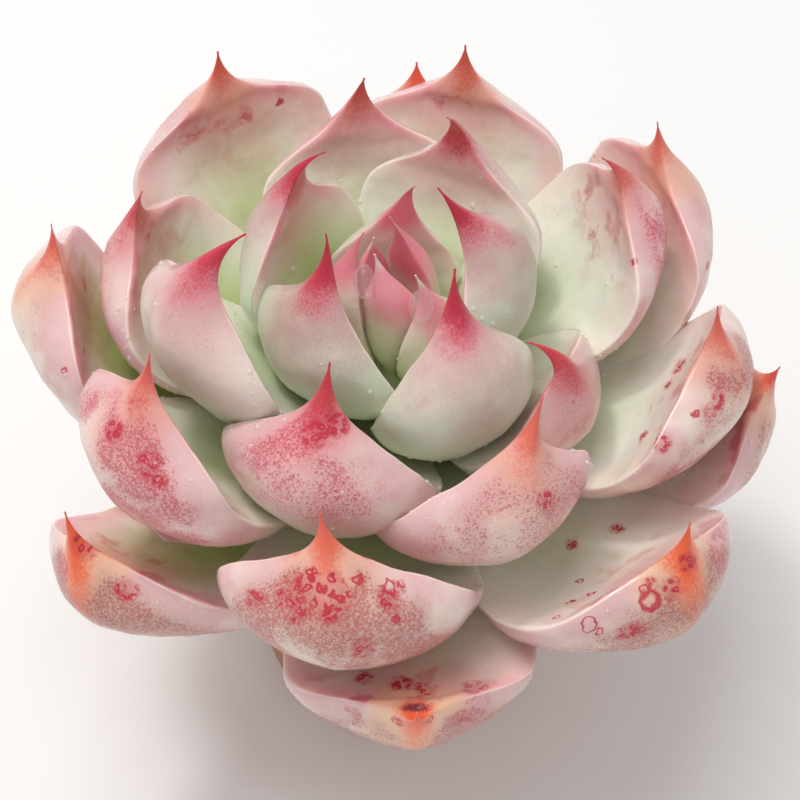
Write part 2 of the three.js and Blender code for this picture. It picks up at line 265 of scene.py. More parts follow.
# How the roots, the spine's taper and the widest place change from the bud outwards: (leaf, value) pairs
ROOT_HEIGHT = ((0, 7), (8, 5.5), (16, 3), (24, 0), (34, -4))
ROOT_RADIUS = ((0, 0.6), (8, 3), (16, 5), (24, 6.5), (34, 6.5))
TAPER = ((0, 3), (6, 4), (8, 5.2), (11, 5), (16, 4.2), (24, 3.1), (34, 3))
WIDEST = ((0, 0.5), (8, 0.46), (16, 0.52), (24, 0.63), (34, 0.64))

# Where the grit lies: between two radii, off the stem and the wall, and on how many square metres
GRIT_FROM, GRIT_TO, OPEN_SOIL = 5.2 * MM, 23 * MM, 1700e-6

# Leaf form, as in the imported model, with finer rings
INNER_LENGTH, INNER_TURN = 0.55, 0.3  # the flatter inner part: its share of the length and of the curl
FLARE = 0.6
SPINE_BLEND, KEEL_BLEND = 2.8, 2.4
BASE_WIDTH, WIDENING_POWER = 0.34, 1.3
SHOULDER_POWER, SHOULDER_END = 2.2, 1.03
BASE_DEPTH, DEEPEST, DEEPENING_POWER = 0.35, 0.6, 1.2
KEEL_ROUNDNESS, KEEL_SHARPENING = 1.15, 0.35
KEEL_START, KEEL_SPAN = 0.35, 0.5  # shares of the length over which the keel sharpens
RIDGE, DISH, RIDGE_SQUARENESS = 0.9, 0.9, 5
RIDGE_FULL, DISH_FULL = 6, 9  # half widths, in millimetres, from which the ridge and the dish are full
TIP_RADIUS = 0.16
SKEW_START, SKEW_POWER = 0.5, 1.5
RING_CROWDING = 1.5
LEAF_ROUND, LEAF_ROWS = 64, 74
TINY = 1e-4
SEAM_GAP = 1e-3  # points of a leaf that lie closer than this, in millimetres, are one


# Fields and nodes


class Field:
    """A number that varies over a surface: an output socket. Arithmetic on it adds Math nodes."""

    def __init__(self, socket):
        self.socket = socket

    def __add__(self, other):
        return calculate("ADD", self, other)

    def __sub__(self, other):
        return calculate("SUBTRACT", self, other)

    def __rsub__(self, other):
        return calculate("SUBTRACT", other, self)

    def __mul__(self, other):
        return calculate("MULTIPLY", self, other)

    def __truediv__(self, other):
        return calculate("DIVIDE", self, other)

    def __rtruediv__(self, other):
        return calculate("DIVIDE", other, self)

    def __pow__(self, other):
        return calculate("POWER", self, other)

    def __neg__(self):
        return calculate("MULTIPLY", self, -1)

    __radd__ = __add__
    __rmul__ = __mul__


def feed(socket, value):
    """Links a field or a socket to an input, or sets the input to a plain value."""
    if isinstance(value, Field):
        value = value.socket
    if isinstance(value, bpy.types.NodeSocket):
        socket.id_data.links.new(value, socket)
    else:
        socket.default_value = value


def feed_all(node, inputs):
    """Feeds a node's inputs, given by name or number."""
    for name, value in inputs.items():
        feed(node.inputs[name], value)


def add(tree, kind, inputs=None, **settings):
    """A new node. settings are its own properties, inputs its sockets by name or number."""
    node = tree.nodes.new(kind)
    for name, value in settings.items():
        setattr(node, name, value)
    feed_all(node, inputs or {})
    return node


def vector(tree, operation, a, b):
    """The vector that a Vector Math node makes of two."""
    return add(tree, "ShaderNodeVectorMath", {0: a, 1: b}, operation=operation).outputs[0]


def scaled(tree, a, factor):
    """The vector a, factor times as long."""
    return add(tree, "ShaderNodeVectorMath", {0: a, "Scale": factor}, operation="SCALE").outputs[0]


def combined(tree, x=0.0, y=0.0, z=0.0):
    """The vector (x, y, z)."""
    return add(tree, "ShaderNodeCombineXYZ", {"X": x, "Y": y, "Z": z}).outputs[0]


def noisy(tree, scale, detail, place=None):
    """Noise from 0 to 1, at place or else at the point itself."""
    inputs = {"Scale": scale, "Detail": detail}
    if place is not None:
        inputs["Vector"] = place
    return Field(add(tree, "ShaderNodeTexNoise", inputs).outputs[0])


def calculate(operation, *values):
    """A Math node on fields and plain numbers."""
    tree = next(v.socket.id_data for v in values if isinstance(v, Field))
    node = add(tree, "ShaderNodeMath", dict(enumerate(values)), operation=operation)
    return Field(node.outputs[0])


def sine(x):
    return calculate("SINE", x)


def cosine(x):
    return calculate("COSINE", x)


def smaller(a, b):
    return calculate("MINIMUM", a, b)


def larger(a, b):
    return calculate("MAXIMUM", a, b)


def clamp(x, low=0.0, high=1.0):
    return larger(smaller(x, high), low)


def magnitude(x):
    return calculate("ABSOLUTE", x)


def choose(condition, yes, no):
    """yes where condition is 1 and no where it is 0."""
    return no + (yes - no) * condition


def ramp(x, start, end):
    """0 before start and 1 after end, smooth between. start may be above end."""
    if start > end:
        return 1 - ramp(x, end, start)
    tree = x.socket.id_data
    node = add(tree, "ShaderNodeMapRange", {0: x, 1: start, 2: end}, interpolation_type="SMOOTHSTEP")
    return Field(node.outputs[0])


def narrower(a, b, power):
    """The smaller of two widths, with a round passage from one to the other."""
    return (a ** -power + b ** -power) ** (-1 / power)


def swell(t, end, power):
    """Rises from 0 to 1 at t = end, along a quarter of a sine wave."""
    return sine(smaller(t / end, 1) * (pi / 2)) ** power


def walk(steps, pitch):
    """Goes along arcs of (length, turn). Returns how far out and up it comes, and the last pitch."""
    out = up = 0
    for length, turn in steps:
        half = turn / 2 + TINY
        chord = length * sine(half) / half
        out = chord * cosine(pitch + half) + out
        up = chord * sine(pitch + half) + up
        pitch = pitch + half * 2
    return out, up, pitch


def new_tree(name, numbers, others=()):
    """A geometry tree with a Geometry output and named inputs: numbers as {name: default}, others as
    (name, socket type). Returns the tree, its inputs by name and its output node."""
    tree = bpy.data.node_groups.new(name, "GeometryNodeTree")
    tree.interface.new_socket("Geometry", in_out="OUTPUT", socket_type="NodeSocketGeometry")
    for label, default in numbers.items():
        socket = tree.interface.new_socket(label, in_out="INPUT", socket_type="NodeSocketFloat")
        socket.default_value = default
    for label, kind in others:
        tree.interface.new_socket(label, in_out="INPUT", socket_type=kind)
    outputs = tree.nodes.new("NodeGroupInput").outputs
    given = {label: Field(outputs[label]) for label in numbers}
    given.update({label: outputs[label] for label, kind in others})
    return tree, given, tree.nodes.new("NodeGroupOutput")


def changed(tree, geometry, kind, inputs, **settings):
    """The geometry after a node of the given kind."""
    return add(tree, "GeometryNode" + kind, {"Geometry": geometry, **inputs}, **settings).outputs[0]


def finish_tree(tree, geometry, material, output):
    """Ends a geometry tree in Realize Instances and Set Material."""
    real = changed(tree, geometry, "RealizeInstances", {})
    feed(output.inputs["Geometry"], changed(tree, real, "SetMaterial", {"Material": material}))


def linked(name, mesh):
    """A new object in the scene, at the origin."""
    piece = bpy.data.objects.new(name, mesh)
    bpy.context.scene.collection.objects.link(piece)
    return piece


def grown(name, tree, values):
    """Runs a geometry tree on an empty mesh, and keeps what it makes as a plain mesh."""
    piece = linked(name, bpy.data.meshes.new(name))
    modifier = piece.modifiers.new(tree.name, "NODES")
    modifier.node_group = tree
    sockets = {i.name: i.identifier for i in tree.interface.items_tree if i.in_out == "INPUT"}
    for label, value in values.items():
        modifier[sockets[label]] = value
    piece.data.update()
    made = piece.evaluated_get(bpy.context.evaluated_depsgraph_get())
    mesh = bpy.data.meshes.new_from_object(made)
    piece.modifiers.remove(modifier)
    piece.data = mesh
    mesh.name = name
    if not mesh.polygons:
        raise RuntimeError(f"{name} came out empty")
    return piece


def ring_faces(rings, sides):
    """Quads between rings of sides vertices each."""
    faces = []
    for i in range(rings - 1):
        for j in range(sides):
            k = (j + 1) % sides
            faces.append((i * sides + j, i * sides + k, (i + 1) * sides + k, (i + 1) * sides + j))
    return faces


def weld(mesh, distance=1e-6):
    """Closes seams and poles, and turns the faces outwards."""
    work = bmesh.new()
    work.from_mesh(mesh)
    bmesh.ops.remove_doubles(work, verts=work.verts, dist=distance)
    bmesh.ops.dissolve_degenerate(work, edges=work.edges, dist=distance)
    bmesh.ops.recalc_face_normals(work, faces=work.faces)
    work.to_mesh(mesh)
    work.free()


def smooth_mesh(name, verts, faces, welded=False):
    """A smooth-shaded mesh. welded closes its seams and poles."""
    mesh = bpy.data.meshes.new(name)
    mesh.from_pydata(verts, [], faces)
    if welded:
        weld(mesh)
    mesh.shade_smooth()
    return mesh


def settle(piece, node):
    """Ties a finished piece to the frame, in place of a node of the model."""
    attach(piece, "root")
    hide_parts(node)


# Materials


def shade(*channels):
    """A colour given as sRGB numbers from 0 to 255, as the linear colour that Blender works with."""
    shares = [c / 255 for c in channels]
    return tuple(c / 12.92 if c < 0.04045 else ((c + 0.055) / 1.055) ** 2.4 for c in shares)


def new_material(name):
    """A material, its node tree and its Principled shader."""
    material = bpy.data.materials.new(name)
    material.use_nodes = True
    tree = material.node_tree
    return material, tree, tree.nodes["Principled BSDF"]


def attribute(tree, name):
    return Field(add(tree, "ShaderNodeAttribute", attribute_name=name).outputs["Fac"])


def millimetres(tree):
    """The place on the piece, in millimetres."""
    return scaled(tree, add(tree, "ShaderNodeTexCoord").outputs["Object"], 1 / MM)


def cloudy(tree, place, grain, detail=2.0, distortion=0.0):
    """Noise with lumps about grain millimetres across, from 0 to 1."""
    sockets = {"Vector": place, "Scale": 1 / grain, "Detail": detail, "Distortion": distortion}
    return Field(add(tree, "ShaderNodeTexNoise", sockets).outputs[0])


def tint(tree, base, colour, mask):
    """base covered with colour where mask is 1."""
    node = add(tree, "ShaderNodeMix", data_type="RGBA")
    feed(node.inputs[0], mask)
    for socket, value in ((node.inputs[6], base), (node.inputs[7], colour)):
        feed(socket, value if isinstance(value, bpy.types.NodeSocket) else (*value[:3], 1.0))
    return node.outputs[2]


def shader_group(name, inputs, outputs):
    """A shader node group, its given fields and its output sockets. inputs are (name, socket type,
    default) and outputs (name, socket type)."""
    tree = bpy.data.node_groups.new(name, "ShaderNodeTree")
    for label, kind, default in inputs:
        socket = tree.interface.new_socket(label, in_out="INPUT", socket_type=kind)
        if default is not None:
            socket.default_value = default
    for label, kind in outputs:
        tree.interface.new_socket(label, in_out="OUTPUT", socket_type=kind)
    return tree, tree.nodes.new("NodeGroupInput").outputs, tree.nodes.new("NodeGroupOutput").inputs


def fleck_group():
    """Short, worm-like flecks, used for the leaves' speckle and the clay's pits."""
    if "Fine flecks" in bpy.data.node_groups:
        return bpy.data.node_groups["Fine flecks"]
    tree, given, out = shader_group(
        "Fine flecks",
        [
            ("Place", "NodeSocketVector", None),
            ("Grain", "NodeSocketFloat", 0.6),
            ("Amount", "NodeSocketFloat", 0.5),
        ],
        [("Mask", "NodeSocketFloat")],
    )
    lumps = Field(add(tree, "ShaderNodeTexNoise", {
        "Vector": given["Place"], "Scale": 1 / Field(given["Grain"]), "Detail": 1.5,
        "Roughness": 0.6, "Distortion": 0.9,
    }).outputs[0])
    # The share of the surface that the flecks cover grows with the amount
    bar = 0.71 - Field(given["Amount"]) * 0.27
    feed(out["Mask"], clamp((lumps - bar) / 0.13))
    return tree


def flecks(tree, place, grain, amount):
    node = add(tree, "ShaderNodeGroup", node_tree=fleck_group())
    feed_all(node, {"Place": place, "Grain": grain, "Amount": amount})
    return Field(node.outputs["Mask"])


def bumpy(tree, shader, height, distance, strength=1.0):
    """Gives the shader's normal the relief of a height from 0 to 1, distance metres deep."""
    sockets = {"Height": height, "Distance": distance, "Strength": strength}
    feed(shader.inputs["Normal"], add(tree, "ShaderNodeBump", sockets).outputs[0])


def leaf_flesh(tree, shader, colours, photo):
    """Waxy leaf skin: green at the root, cream on the faces, pink flushes, fine speckle and a red spine.
    It fills a material that the leaves already have, because its rings need the leaves' places."""
    place = millimetres(tree)
    skin = LeafSkin(tree, place, colours, photo)
    top = ramp(attribute(tree, "upper"), -0.1, 0.16)
    body = tint(tree, skin.under_face(), skin.upper_face(), top)
    body = skin.spine(body)
    body = skin.blotches(body)
    body = skin.margin(body)
    feed_all(shader, {
        "Base Color": body,
        "Roughness": 0.36 + skin.grit * 0.12 + ramp(skin.patchy, 0.4, 0.6) * 0.1,
        "Coat Weight": clamp(0.2 + skin.age * 0.3 + ramp(skin.edge, 0.8, 0.97) * 0.5),
        "Coat Roughness": 0.12,
        "Coat IOR": 1.4,
        "Subsurface Weight": 0.12,
        "Subsurface Radius": (1.0, 0.45, 0.3),
        "Subsurface Scale": 3 * MM,
        "Specular IOR Level": 0.45,
    })
    bumpy(tree, shader, cloudy(tree, place, 1.4, 1), 0.12 * MM, 0.5)


class LeafSkin:
    """The masks that the leaf colours share, and the colours laid over each other. Distances are in
    millimetres. A ramp's two numbers are where a colour starts and where it is full."""

    # How large the noises' lumps are, in millimetres
    CLOUD, PATCH, GRIT, FLECK, STIPPLE, BLOOM = 12, 4.5, 0.35, 0.35, 0.24, 0.24
    CELL, CELL_RING, CELL_BAND = 1.15, 0.4, 0.26  # the cells that make up a blotch: size, ring and its band

    def __init__(self, tree, place, colours, photo):
        self.tree, self.place, self.colours, self.photo = tree, place, colours, photo
        self.along = attribute(tree, "along")
        self.from_tip = attribute(tree, "from_tip")
        self.age = attribute(tree, "age")
        self.warm = attribute(tree, "warm")
        self.speckle = attribute(tree, "speckle")
        self.pale = attribute(tree, "pale")
        across = attribute(tree, "across")
        half_width = attribute(tree, "half_width")
        self.edge = clamp(magnitude(across) / half_width)
        self.upper = attribute(tree, "upper")
        # How far a place lies from the spine's tip, and the same with the way across counted more
        self.tip_distance = (self.from_tip ** 2 + across ** 2 * 1.3) ** 0.5
        self.keel_distance = (self.from_tip ** 2 + across ** 2 * 7) ** 0.5
        self.broad = cloudy(tree, place, self.CLOUD, 1)
        self.patchy = cloudy(tree, place, self.PATCH, 2)
        self.grit = cloudy(tree, place, self.GRIT, 2)
        self.streaks = cloudy(tree, combined(tree, across * 0.5, self.from_tip * 0.07, self.age * 70), 1, 2)

    def glow(self, skin):
        """Peach round the end of an old leaf, pink round the end of a young one."""
        cap = clamp((choose(self.warm ** 2, 16.0, 15.0) - self.tip_distance - self.patchy * 6) / 9)
        colour = tint(self.tree, self.colours.pink, self.colours.peach, self.warm)
        return tint(self.tree, skin, colour, ramp(cap, 0.0, 0.55) * 0.8)

    def under_face(self):
        """Pale green at the root, then cream and lilac pink, with flecks that thicken towards the spine."""
        tree, c = self.tree, self.colours
        clouds = self.broad * 0.6 + self.patchy * 0.4
        ripe = ramp(self.along + self.age * 0.9 + clouds * 0.3, 0.9, 1.35)
        skin = tint(tree, c.pale_green, c.cream, ripe)
        rosy = ramp(clouds * 1.5 + self.edge * 0.5, 0.85, 1.3) * ramp(self.age, 0.3, 0.5)
        skin = tint(tree, skin, c.lilac, clamp(rosy * ramp(self.along, 0.25, 0.6)) * (1 - self.pale))
        haze = ramp(self.tip_distance + self.patchy * 9 + self.age * 9, 27, 10) * (1 - self.warm * 0.7)
        skin = tint(tree, skin, c.pink, haze * (1 - self.pale) * 0.65)
        dusky = ramp(self.tip_distance + self.patchy * 9, 28, 15) * ramp(self.age, 0.6, 0.25)
        skin = tint(tree, skin, c.dusky, dusky * (1 - self.pale) * 0.6)
        skin = self.glow(skin)
        # Dense, fine flecks over the middle of the face, on a wash of their own colour
        dense = self.speckle * ramp(self.along + self.age * 0.8, 0.86, 1.14) * ramp(self.edge, 1.05, 0.75)
        dense = clamp(dense * (ramp(clouds, 0.38, 0.56) * 0.75 + 0.45))
        dense = dense * (1 - ramp(self.tip_distance, 9, 6) * ramp(self.warm, 0.2, 0.5))
        wash = tint(tree, c.pink, c.rust_and_shade, ramp(self.warm, 0.35, 0.75))
        # Painted shade, with some of the leaf's own brownish tone: an old leaf's under face darkens towards
        # the root, the part turned down and away from the light
        skin = tint(tree, skin, c.rust_and_shade, ramp(self.along, 0.62, 0.4) * ramp(self.age, 0.6, 0.75) * 0.45)
        # Cream over the bud's under faces: their pale flesh, and painted light that brightens the deep bud
        # where little light reaches
        skin = tint(tree, skin, c.cream, self.pale * 0.6)
        skin = tint(tree, skin, wash, dense * choose(self.warm, 0.9, 0.55))
        fine = flecks(tree, self.place, self.FLECK, dense * 1.1)
        ink = tint(tree, c.crimson, c.wine, self.warm ** 2)
        return tint(tree, skin, ink, fine * clamp(dense * 1.6) * choose(self.warm, 0.58, 0.72))

    def upper_face(self):
        """Green deep down, grey green or olive in the dish, pink towards the margins and the end."""
        tree, c = self.tree, self.colours
        olive = attribute(tree, "olive")
        dull = clamp(olive * ramp(self.edge, 0.9, 0.3) + self.streaks - 0.6)
        skin = tint(tree, c.grey_green, c.olive, dull)
        light = ramp(self.streaks * 0.5 + self.patchy * 0.5 + self.edge * 0.25, 0.5, 0.75)
        skin = tint(tree, skin, c.cream, light * 0.4)
        deep = self.along + self.edge * 0.25 + self.streaks * 0.1 - olive * 0.2 + self.age * 0.12
        skin = tint(tree, skin, c.green, ramp(deep, 0.84, 0.34) * (0.5 + olive * 0.5))
        sides = ramp(self.edge, 0.45, 1.0) * ramp(self.along, 0.4, 0.75) * (0.3 + olive * 0.6)
        end = ramp(self.tip_distance + self.patchy * 10, 28, 12)
        flush = clamp(sides + end) * (0.55 + self.patchy * 0.4) * (1 - self.pale * 0.7)
        skin = tint(tree, skin, c.pink, flush)
        skin = self.glow(skin)
        soft = ramp(self.patchy, 0.54, 0.66) * ramp(self.tip_distance, 26, 14) * self.speckle
        return tint(tree, skin, c.crimson, soft * 0.5)

    def blotches(self, skin):
        """Crimson blotches made of small rings, and the larger rings."""
        tree, c = self.tree, self.colours
        warped = add(tree, "ShaderNodeTexNoise", {"Vector": self.place, "Scale": 1.1, "Detail": 0.0})
        shift = vector(tree, "SUBTRACT", warped.outputs["Color"], (0.5, 0.5, 0.5))
        place = vector(tree, "ADD", self.place, shift)
        bands = None
        for *pixel, size, band in RINGS:
            spot = self.photo.place(*pixel)
            away = add(tree, "ShaderNodeVectorMath", {0: place, 1: spot}, operation="DISTANCE")
            inside = 1 - magnitude(Field(away.outputs["Value"]) - size) / band
            bands = inside if bands is None else larger(bands, inside)
        inputs = {"Vector": place, "Scale": 1 / self.CELL, "Randomness": 0.9}
        cells = add(tree, "ShaderNodeTexVoronoi", inputs)
        link = 1 - magnitude(Field(cells.outputs["Distance"]) * self.CELL - self.CELL_RING) / self.CELL_BAND
        wild = ramp(self.broad, 0.64, 0.7) * ramp(self.tip_distance, 22, 14) * self.speckle * 0.6
        patch = clamp((attribute(tree, "blotch") + self.patchy * 0.6 - 0.42) * 3)
        patch = clamp(larger(patch, wild))
        skin = tint(tree, skin, c.crimson, patch * 0.35)
        skin = tint(tree, skin, c.crimson, clamp(link * 1.8) * patch * 0.95)
        skin = tint(tree, skin, c.crimson, clamp(bands * 1.8) * 0.9)
        from_scar = vector(tree, "SUBTRACT", self.place, self.photo.place(*SCAR_PIXEL))
        flat = vector(tree, "DIVIDE", from_scar, SCAR_HALF)
        length = Field(add(tree, "ShaderNodeVectorMath", {0: flat}, operation="LENGTH").outputs["Value"])
        length = length + (self.patchy - 0.5) * 0.8 + (self.grit - 0.5) * 1.2
        skin = tint(tree, skin, c.crimson, ramp(length, 1.6, 1.0) * 0.6)
        return tint(tree, skin, c.scar, ramp(length, 1.1, 0.7) * 0.85)

    def spine(self, skin):
        """Red and orange at the end of an old leaf, crimson with a stippled edge on a young one."""
        tree, c = self.tree, self.colours
        heart = tint(tree, c.crimson, c.orange, self.warm)
        heart = tint(tree, heart, c.bud, self.pale)
        reach = 21 - self.age * 9 + self.warm ** 4 * 4
        core = clamp((reach - self.keel_distance - self.patchy * 6 - self.grit * 6) / 7)
        thin = self.warm * (1 - self.warm) * 0.7
        skin = tint(tree, skin, heart, ramp(core, 0.0, 0.9) * (0.95 - thin))
        near = ramp(self.keel_distance * 0.6 + self.tip_distance * 0.4, 22, 3)
        near = near * (1 - self.warm) * (1 - self.pale)
        stipple = flecks(tree, self.place, self.STIPPLE, near * 0.9)
        skin = tint(tree, skin, c.crimson, stipple * clamp(near * 1.3) * 0.6)
        end = ramp(self.keel_distance, 5.5, 0.5) * (0.6 - self.warm * 0.35) * (1 - self.pale)
        skin = tint(tree, skin, c.crimson, end)
        return tint(tree, skin, c.cream, ramp(self.from_tip, 3.2, 1.2) * ramp(self.pale, 0.6, 1.0) * 0.8)

    def margin(self, skin):
        """A pale line along the leaf's edge, and a thin bloom of wax."""
        tree, c = self.tree, self.colours
        line = ramp(magnitude(self.upper - 0.12), 0.16, 0.04) * ramp(self.edge, 0.93, 0.98)
        skin = tint(tree, skin, c.wax, line * ramp(self.tip_distance, 7, 14) * 0.6)
        bloom = ramp(cloudy(tree, self.place, self.BLOOM, 1), 0.45, 0.7) * (0.34 - self.age * 0.2)
        bloom = bloom * ramp(self.upper, 0.1, -0.1)
        return tint(tree, skin, c.wax, bloom * ramp(self.tip_distance, 5, 14) * 0.7)


def core_flesh(colours):
    """The green heart that the leaves stand on."""
    material, tree, shader = new_material("core_flesh")
    place = millimetres(tree)
    skin = tint(tree, colours.pale_green, colours.green, cloudy(tree, place, 4, 3))
    feed_all(shader, {"Base Color": skin, "Roughness": 0.45 + cloudy(tree, place, 1, 2) * 0.2})
    bumpy(tree, shader, cloudy(tree, place, 1.5, 3), 0.3 * MM)
    return material


def fired_clay(colours):
    """Unglazed clay with turning lines, pits and a pale lime bloom."""
    material, tree, shader = new_material("fired_clay")
    place = millimetres(tree)
    height = Field(add(tree, "ShaderNodeSeparateXYZ", {0: place}).outputs["Z"])
    broad = cloudy(tree, place, 16, 4, 0.4)
    grain = cloudy(tree, place, 0.5, 3)
    clay = tint(tree, colours.clay, colours.pale_clay, ramp(broad + grain * 0.25, 0.45, 0.85))
    clay = tint(tree, clay, colours.dark_clay, flecks(tree, place, 0.9, 0.28 + broad * 0.1) * 0.6)
    top = POT_TOP / MM
    damp = clamp(ramp(height, top * 0.55, top * 0.1) + ramp(height, top - 4, top) * 0.8)
    lime = ramp(cloudy(tree, place, 9, 4) * 0.7 + grain * 0.3 + damp * 0.16, 0.5, 0.82)
    clay = tint(tree, clay, colours.lime, lime * 0.5)
    feed_all(shader, {"Base Color": clay, "Roughness": 0.82 + grain * 0.12})
    sockets = {"Vector": place, "Scale": 1.3, "Distortion": 1.2, "Detail": 2.0}
    turning = Field(add(tree, "ShaderNodeTexWave", sockets, bands_direction="Z").outputs["Fac"])
    bumpy(tree, shader, turning * 0.25 + grain * 0.5 + broad * 0.4, 0.25 * MM)
    return material


def potting_mix(colours):
    """Dark, damp crumbs of bark and peat."""
    material, tree, shader = new_material("potting_mix")
    place = millimetres(tree)
    crumbs = cloudy(tree, place, 1.2, 5, 0.3)
    mix = tint(tree, colours.peat, colours.bark, ramp(crumbs, 0.42, 0.7))
    mix = tint(tree, mix, colours.grit, flecks(tree, place, 0.8, 0.3))
    feed_all(shader, {"Base Color": mix, "Roughness": 0.85 + crumbs * 0.12})
    bumpy(tree, shader, crumbs, 0.8 * MM)
    return material


def grit_stone(colours):
    """Pumice, fired clay and lava crumbs: each stone has its own tone."""
    material, tree, shader = new_material("grit_stone")
    place = millimetres(tree)
    tone = attribute(tree, "tone")
    rough = cloudy(tree, place, 0.5, 4)
    stone = tint(tree, colours.pumice, colours.bark, ramp(tone, 0.42, 0.5))
    stone = tint(tree, stone, colours.lava, ramp(tone, 0.78, 0.84))
    stone = tint(tree, stone, colours.peat, ramp(rough, 0.55, 0.75) * 0.5)
    feed_all(shader, {"Base Color": stone, "Roughness": 0.8 + rough * 0.15})
    bumpy(tree, shader, rough, 0.3 * MM)
    return material


def dry_bark(colours):
    """The stem's thin bark, with leaf scars and fine cracks along it."""
    material, tree, shader = new_material("dry_bark")
    place = millimetres(tree)
    stretched = add(tree, "ShaderNodeMapping", {"Vector": place, "Scale": (1, 1, 0.25)}).outputs[0]
    fibres = cloudy(tree, stretched, 0.5, 4, 0.5)
    scar = attribute(tree, "scar")
    bark = tint(tree, colours.stem, colours.dark_stem, ramp(fibres, 0.4, 0.75))
    bark = tint(tree, bark, colours.scar, scar * 0.75)
    bark = tint(tree, bark, colours.pale_green, attribute(tree, "young") * 0.55)
    feed_all(shader, {"Base Color": bark, "Roughness": 0.75 + fibres * 0.2})
    bumpy(tree, shader, fibres, 0.4 * MM)
    return material


def water_with_painted_sheen(name, middle, rim, clearness):
    """Water that hides the given share of what lies behind its middle and its rim under white: a painted
    sheen that stands in for the light water reflects, fullest at the rim.
    Small beads have no clearness: they only cover, white dots painted in place of their glints."""
    material, tree, shader = new_material(name)
    ripple = cloudy(tree, millimetres(tree), 1.0, 1)
    painted_sheen_rim = Field(add(tree, "ShaderNodeLayerWeight").outputs["Facing"])
    feed_all(shader, {
        # White: with the Alpha below, a painted sheen over the water, fullest at the rim
        "Base Color": (1, 1, 1, 1),
        "Roughness": 0.02 + ripple * 0.04,
        "IOR": 1.33,
        "Alpha": choose(painted_sheen_rim ** 2.5, rim, middle),
        "Specular IOR Level": 0.9,
        "Transmission Weight": clearness,
        "Coat Weight": 1.0,
    })
    return material


# Settings


def sized(label, about, default):
    """A length in metres."""
    return bpy.props.FloatProperty(
        name=label, description=about, default=default, unit="LENGTH", precision=4
    )


def number(label, about, default, **more):
    """A number. more holds its unit, subtype or limits."""
    return bpy.props.FloatProperty(name=label, description=about, default=default, **more)


def coloured(label, about, *channels):
    """A colour, given as sRGB numbers from 0 to 255."""
    return bpy.props.FloatVectorProperty(
        name=label, description=about, default=shade(*channels), subtype="COLOR", size=3, min=0, max=1
    )


class PotSettings(bpy.types.PropertyGroup):
    """Sizes and clay colours of the pot."""

    rim_band: sized("Rim band", "Height of the thicker band round the rim", 7 * MM)
    body_radius: sized("Body radius", "Radius of the wall just under the rim band", 26.6 * MM)
    foot_radius: sized("Foot radius", "Radius of the wall at the foot", 21 * MM)
    wall: sized("Wall", "Thickness of the wall", 2.6 * MM)
    floor: sized("Floor", "Thickness of the floor", 3.2 * MM)
    drain_radius: sized("Drain radius", "Radius of each drain hole", 2 * MM)
    drain_circle: sized("Drain circle", "Radius of the circle that the drain holes lie on", 10 * MM)
    clay: coloured("Clay", "Main colour of the clay", 182, 104, 72)
    pale_clay: coloured("Pale clay", "Lighter clouds in the clay", 205, 136, 102)
    dark_clay: coloured("Dark clay", "Pits and specks in the clay", 120, 62, 42)
    lime: coloured("Lime", "Lime bloom on the clay", 226, 206, 190)


class SoilSettings(bpy.types.PropertyGroup):
    """The potting mix and the grit on it."""

    below_rim: sized("Below rim", "How far the soil's edge lies under the rim", 4 * MM)
    mound: sized("Mound", "How much higher the soil is at the stem", 1.6 * MM)
    stones: bpy.props.IntProperty(name="Stones", description="Number of grit stones", default=900, min=0)
    stone_size: sized("Stone size", "Mean width of a grit stone", 1.9 * MM)
    peat: coloured("Peat", "Dark crumbs", 44, 32, 25)
    bark: coloured("Bark", "Brown crumbs", 122, 84, 56)
    grit: coloured("Grit", "Pale specks", 150, 138, 120)
    pumice: coloured("Pumice", "Pale stones", 206, 196, 180)
    lava: coloured("Lava", "Dark stones", 72, 56, 52)


class StemSettings(bpy.types.PropertyGroup):
    """The bare stem."""

    radius: sized("Radius", "Radius of the stem", 4.4 * MM)
    scar_height: sized("Scar height", "How far a leaf scar stands out", 0.45 * MM)
    stem: coloured("Stem", "Bark colour", 158, 132, 98)
    dark_stem: coloured("Dark stem", "Cracks in the bark", 92, 70, 50)
    scar: coloured("Scar", "Leaf scars", 196, 170, 132)
    pale_green: coloured("Young bark", "Where the stem is still green", 178, 186, 136)


class RosetteSettings(bpy.types.PropertyGroup):
    """The leaves: how they are set, and their colours."""

    golden_angle: number("Golden angle", "Turn from one leaf to the next", radians(136.9), subtype="ANGLE")
    first_turn: number("First turn", "Bearing of the innermost leaf", radians(-49.8), subtype="ANGLE")
    cream: coloured("Cream", "The variegated flesh", 248, 238, 224)
    lilac: coloured("Lilac", "Flush on the under faces", 230, 188, 190)
    pink: coloured("Pink", "Flush towards the tips and margins", 230, 134, 150)
    dusky: coloured("Dusky", "Under a young leaf's spine", 186, 136, 136)
    pale_green: coloured("Pale green", "Under faces near the root", 204, 222, 196)
    grey_green: coloured("Grey green", "The dish of the upper face", 234, 234, 222)
    olive: coloured("Olive", "The dish of a dull upper face", 196, 200, 142)
    green: coloured("Green", "Upper faces near the root", 166, 192, 96)
    # The wash under the speckle, and also painted shade towards the root of old leaves' under faces
    rust_and_shade: coloured("Rust", "Wash under the speckle", 204, 160, 144)
    crimson: coloured("Crimson", "Speckle, rings and young tips", 194, 26, 60)
    bud: coloured("Bud", "Tips in the bud", 255, 168, 184)
    orange: coloured("Orange", "Tips of old leaves", 246, 98, 44)
    peach: coloured("Peach", "Round the tips of old leaves", 244, 196, 158)
    wine: coloured("Wine", "Speckle on old leaves", 168, 42, 62)
    scar: coloured("Scar", "The scar at the end of the lowest leaf", 112, 50, 62)
    wax: coloured("Wax", "Margins and bloom", 248, 238, 228)


class DewSettings(bpy.types.PropertyGroup):
    """Beads of water on the leaves."""

    density: number("Density", "Beads on a square metre where they lie closest", 520000, min=0)
    bead: sized("Bead", "Radius of the largest bead", 0.5 * MM)


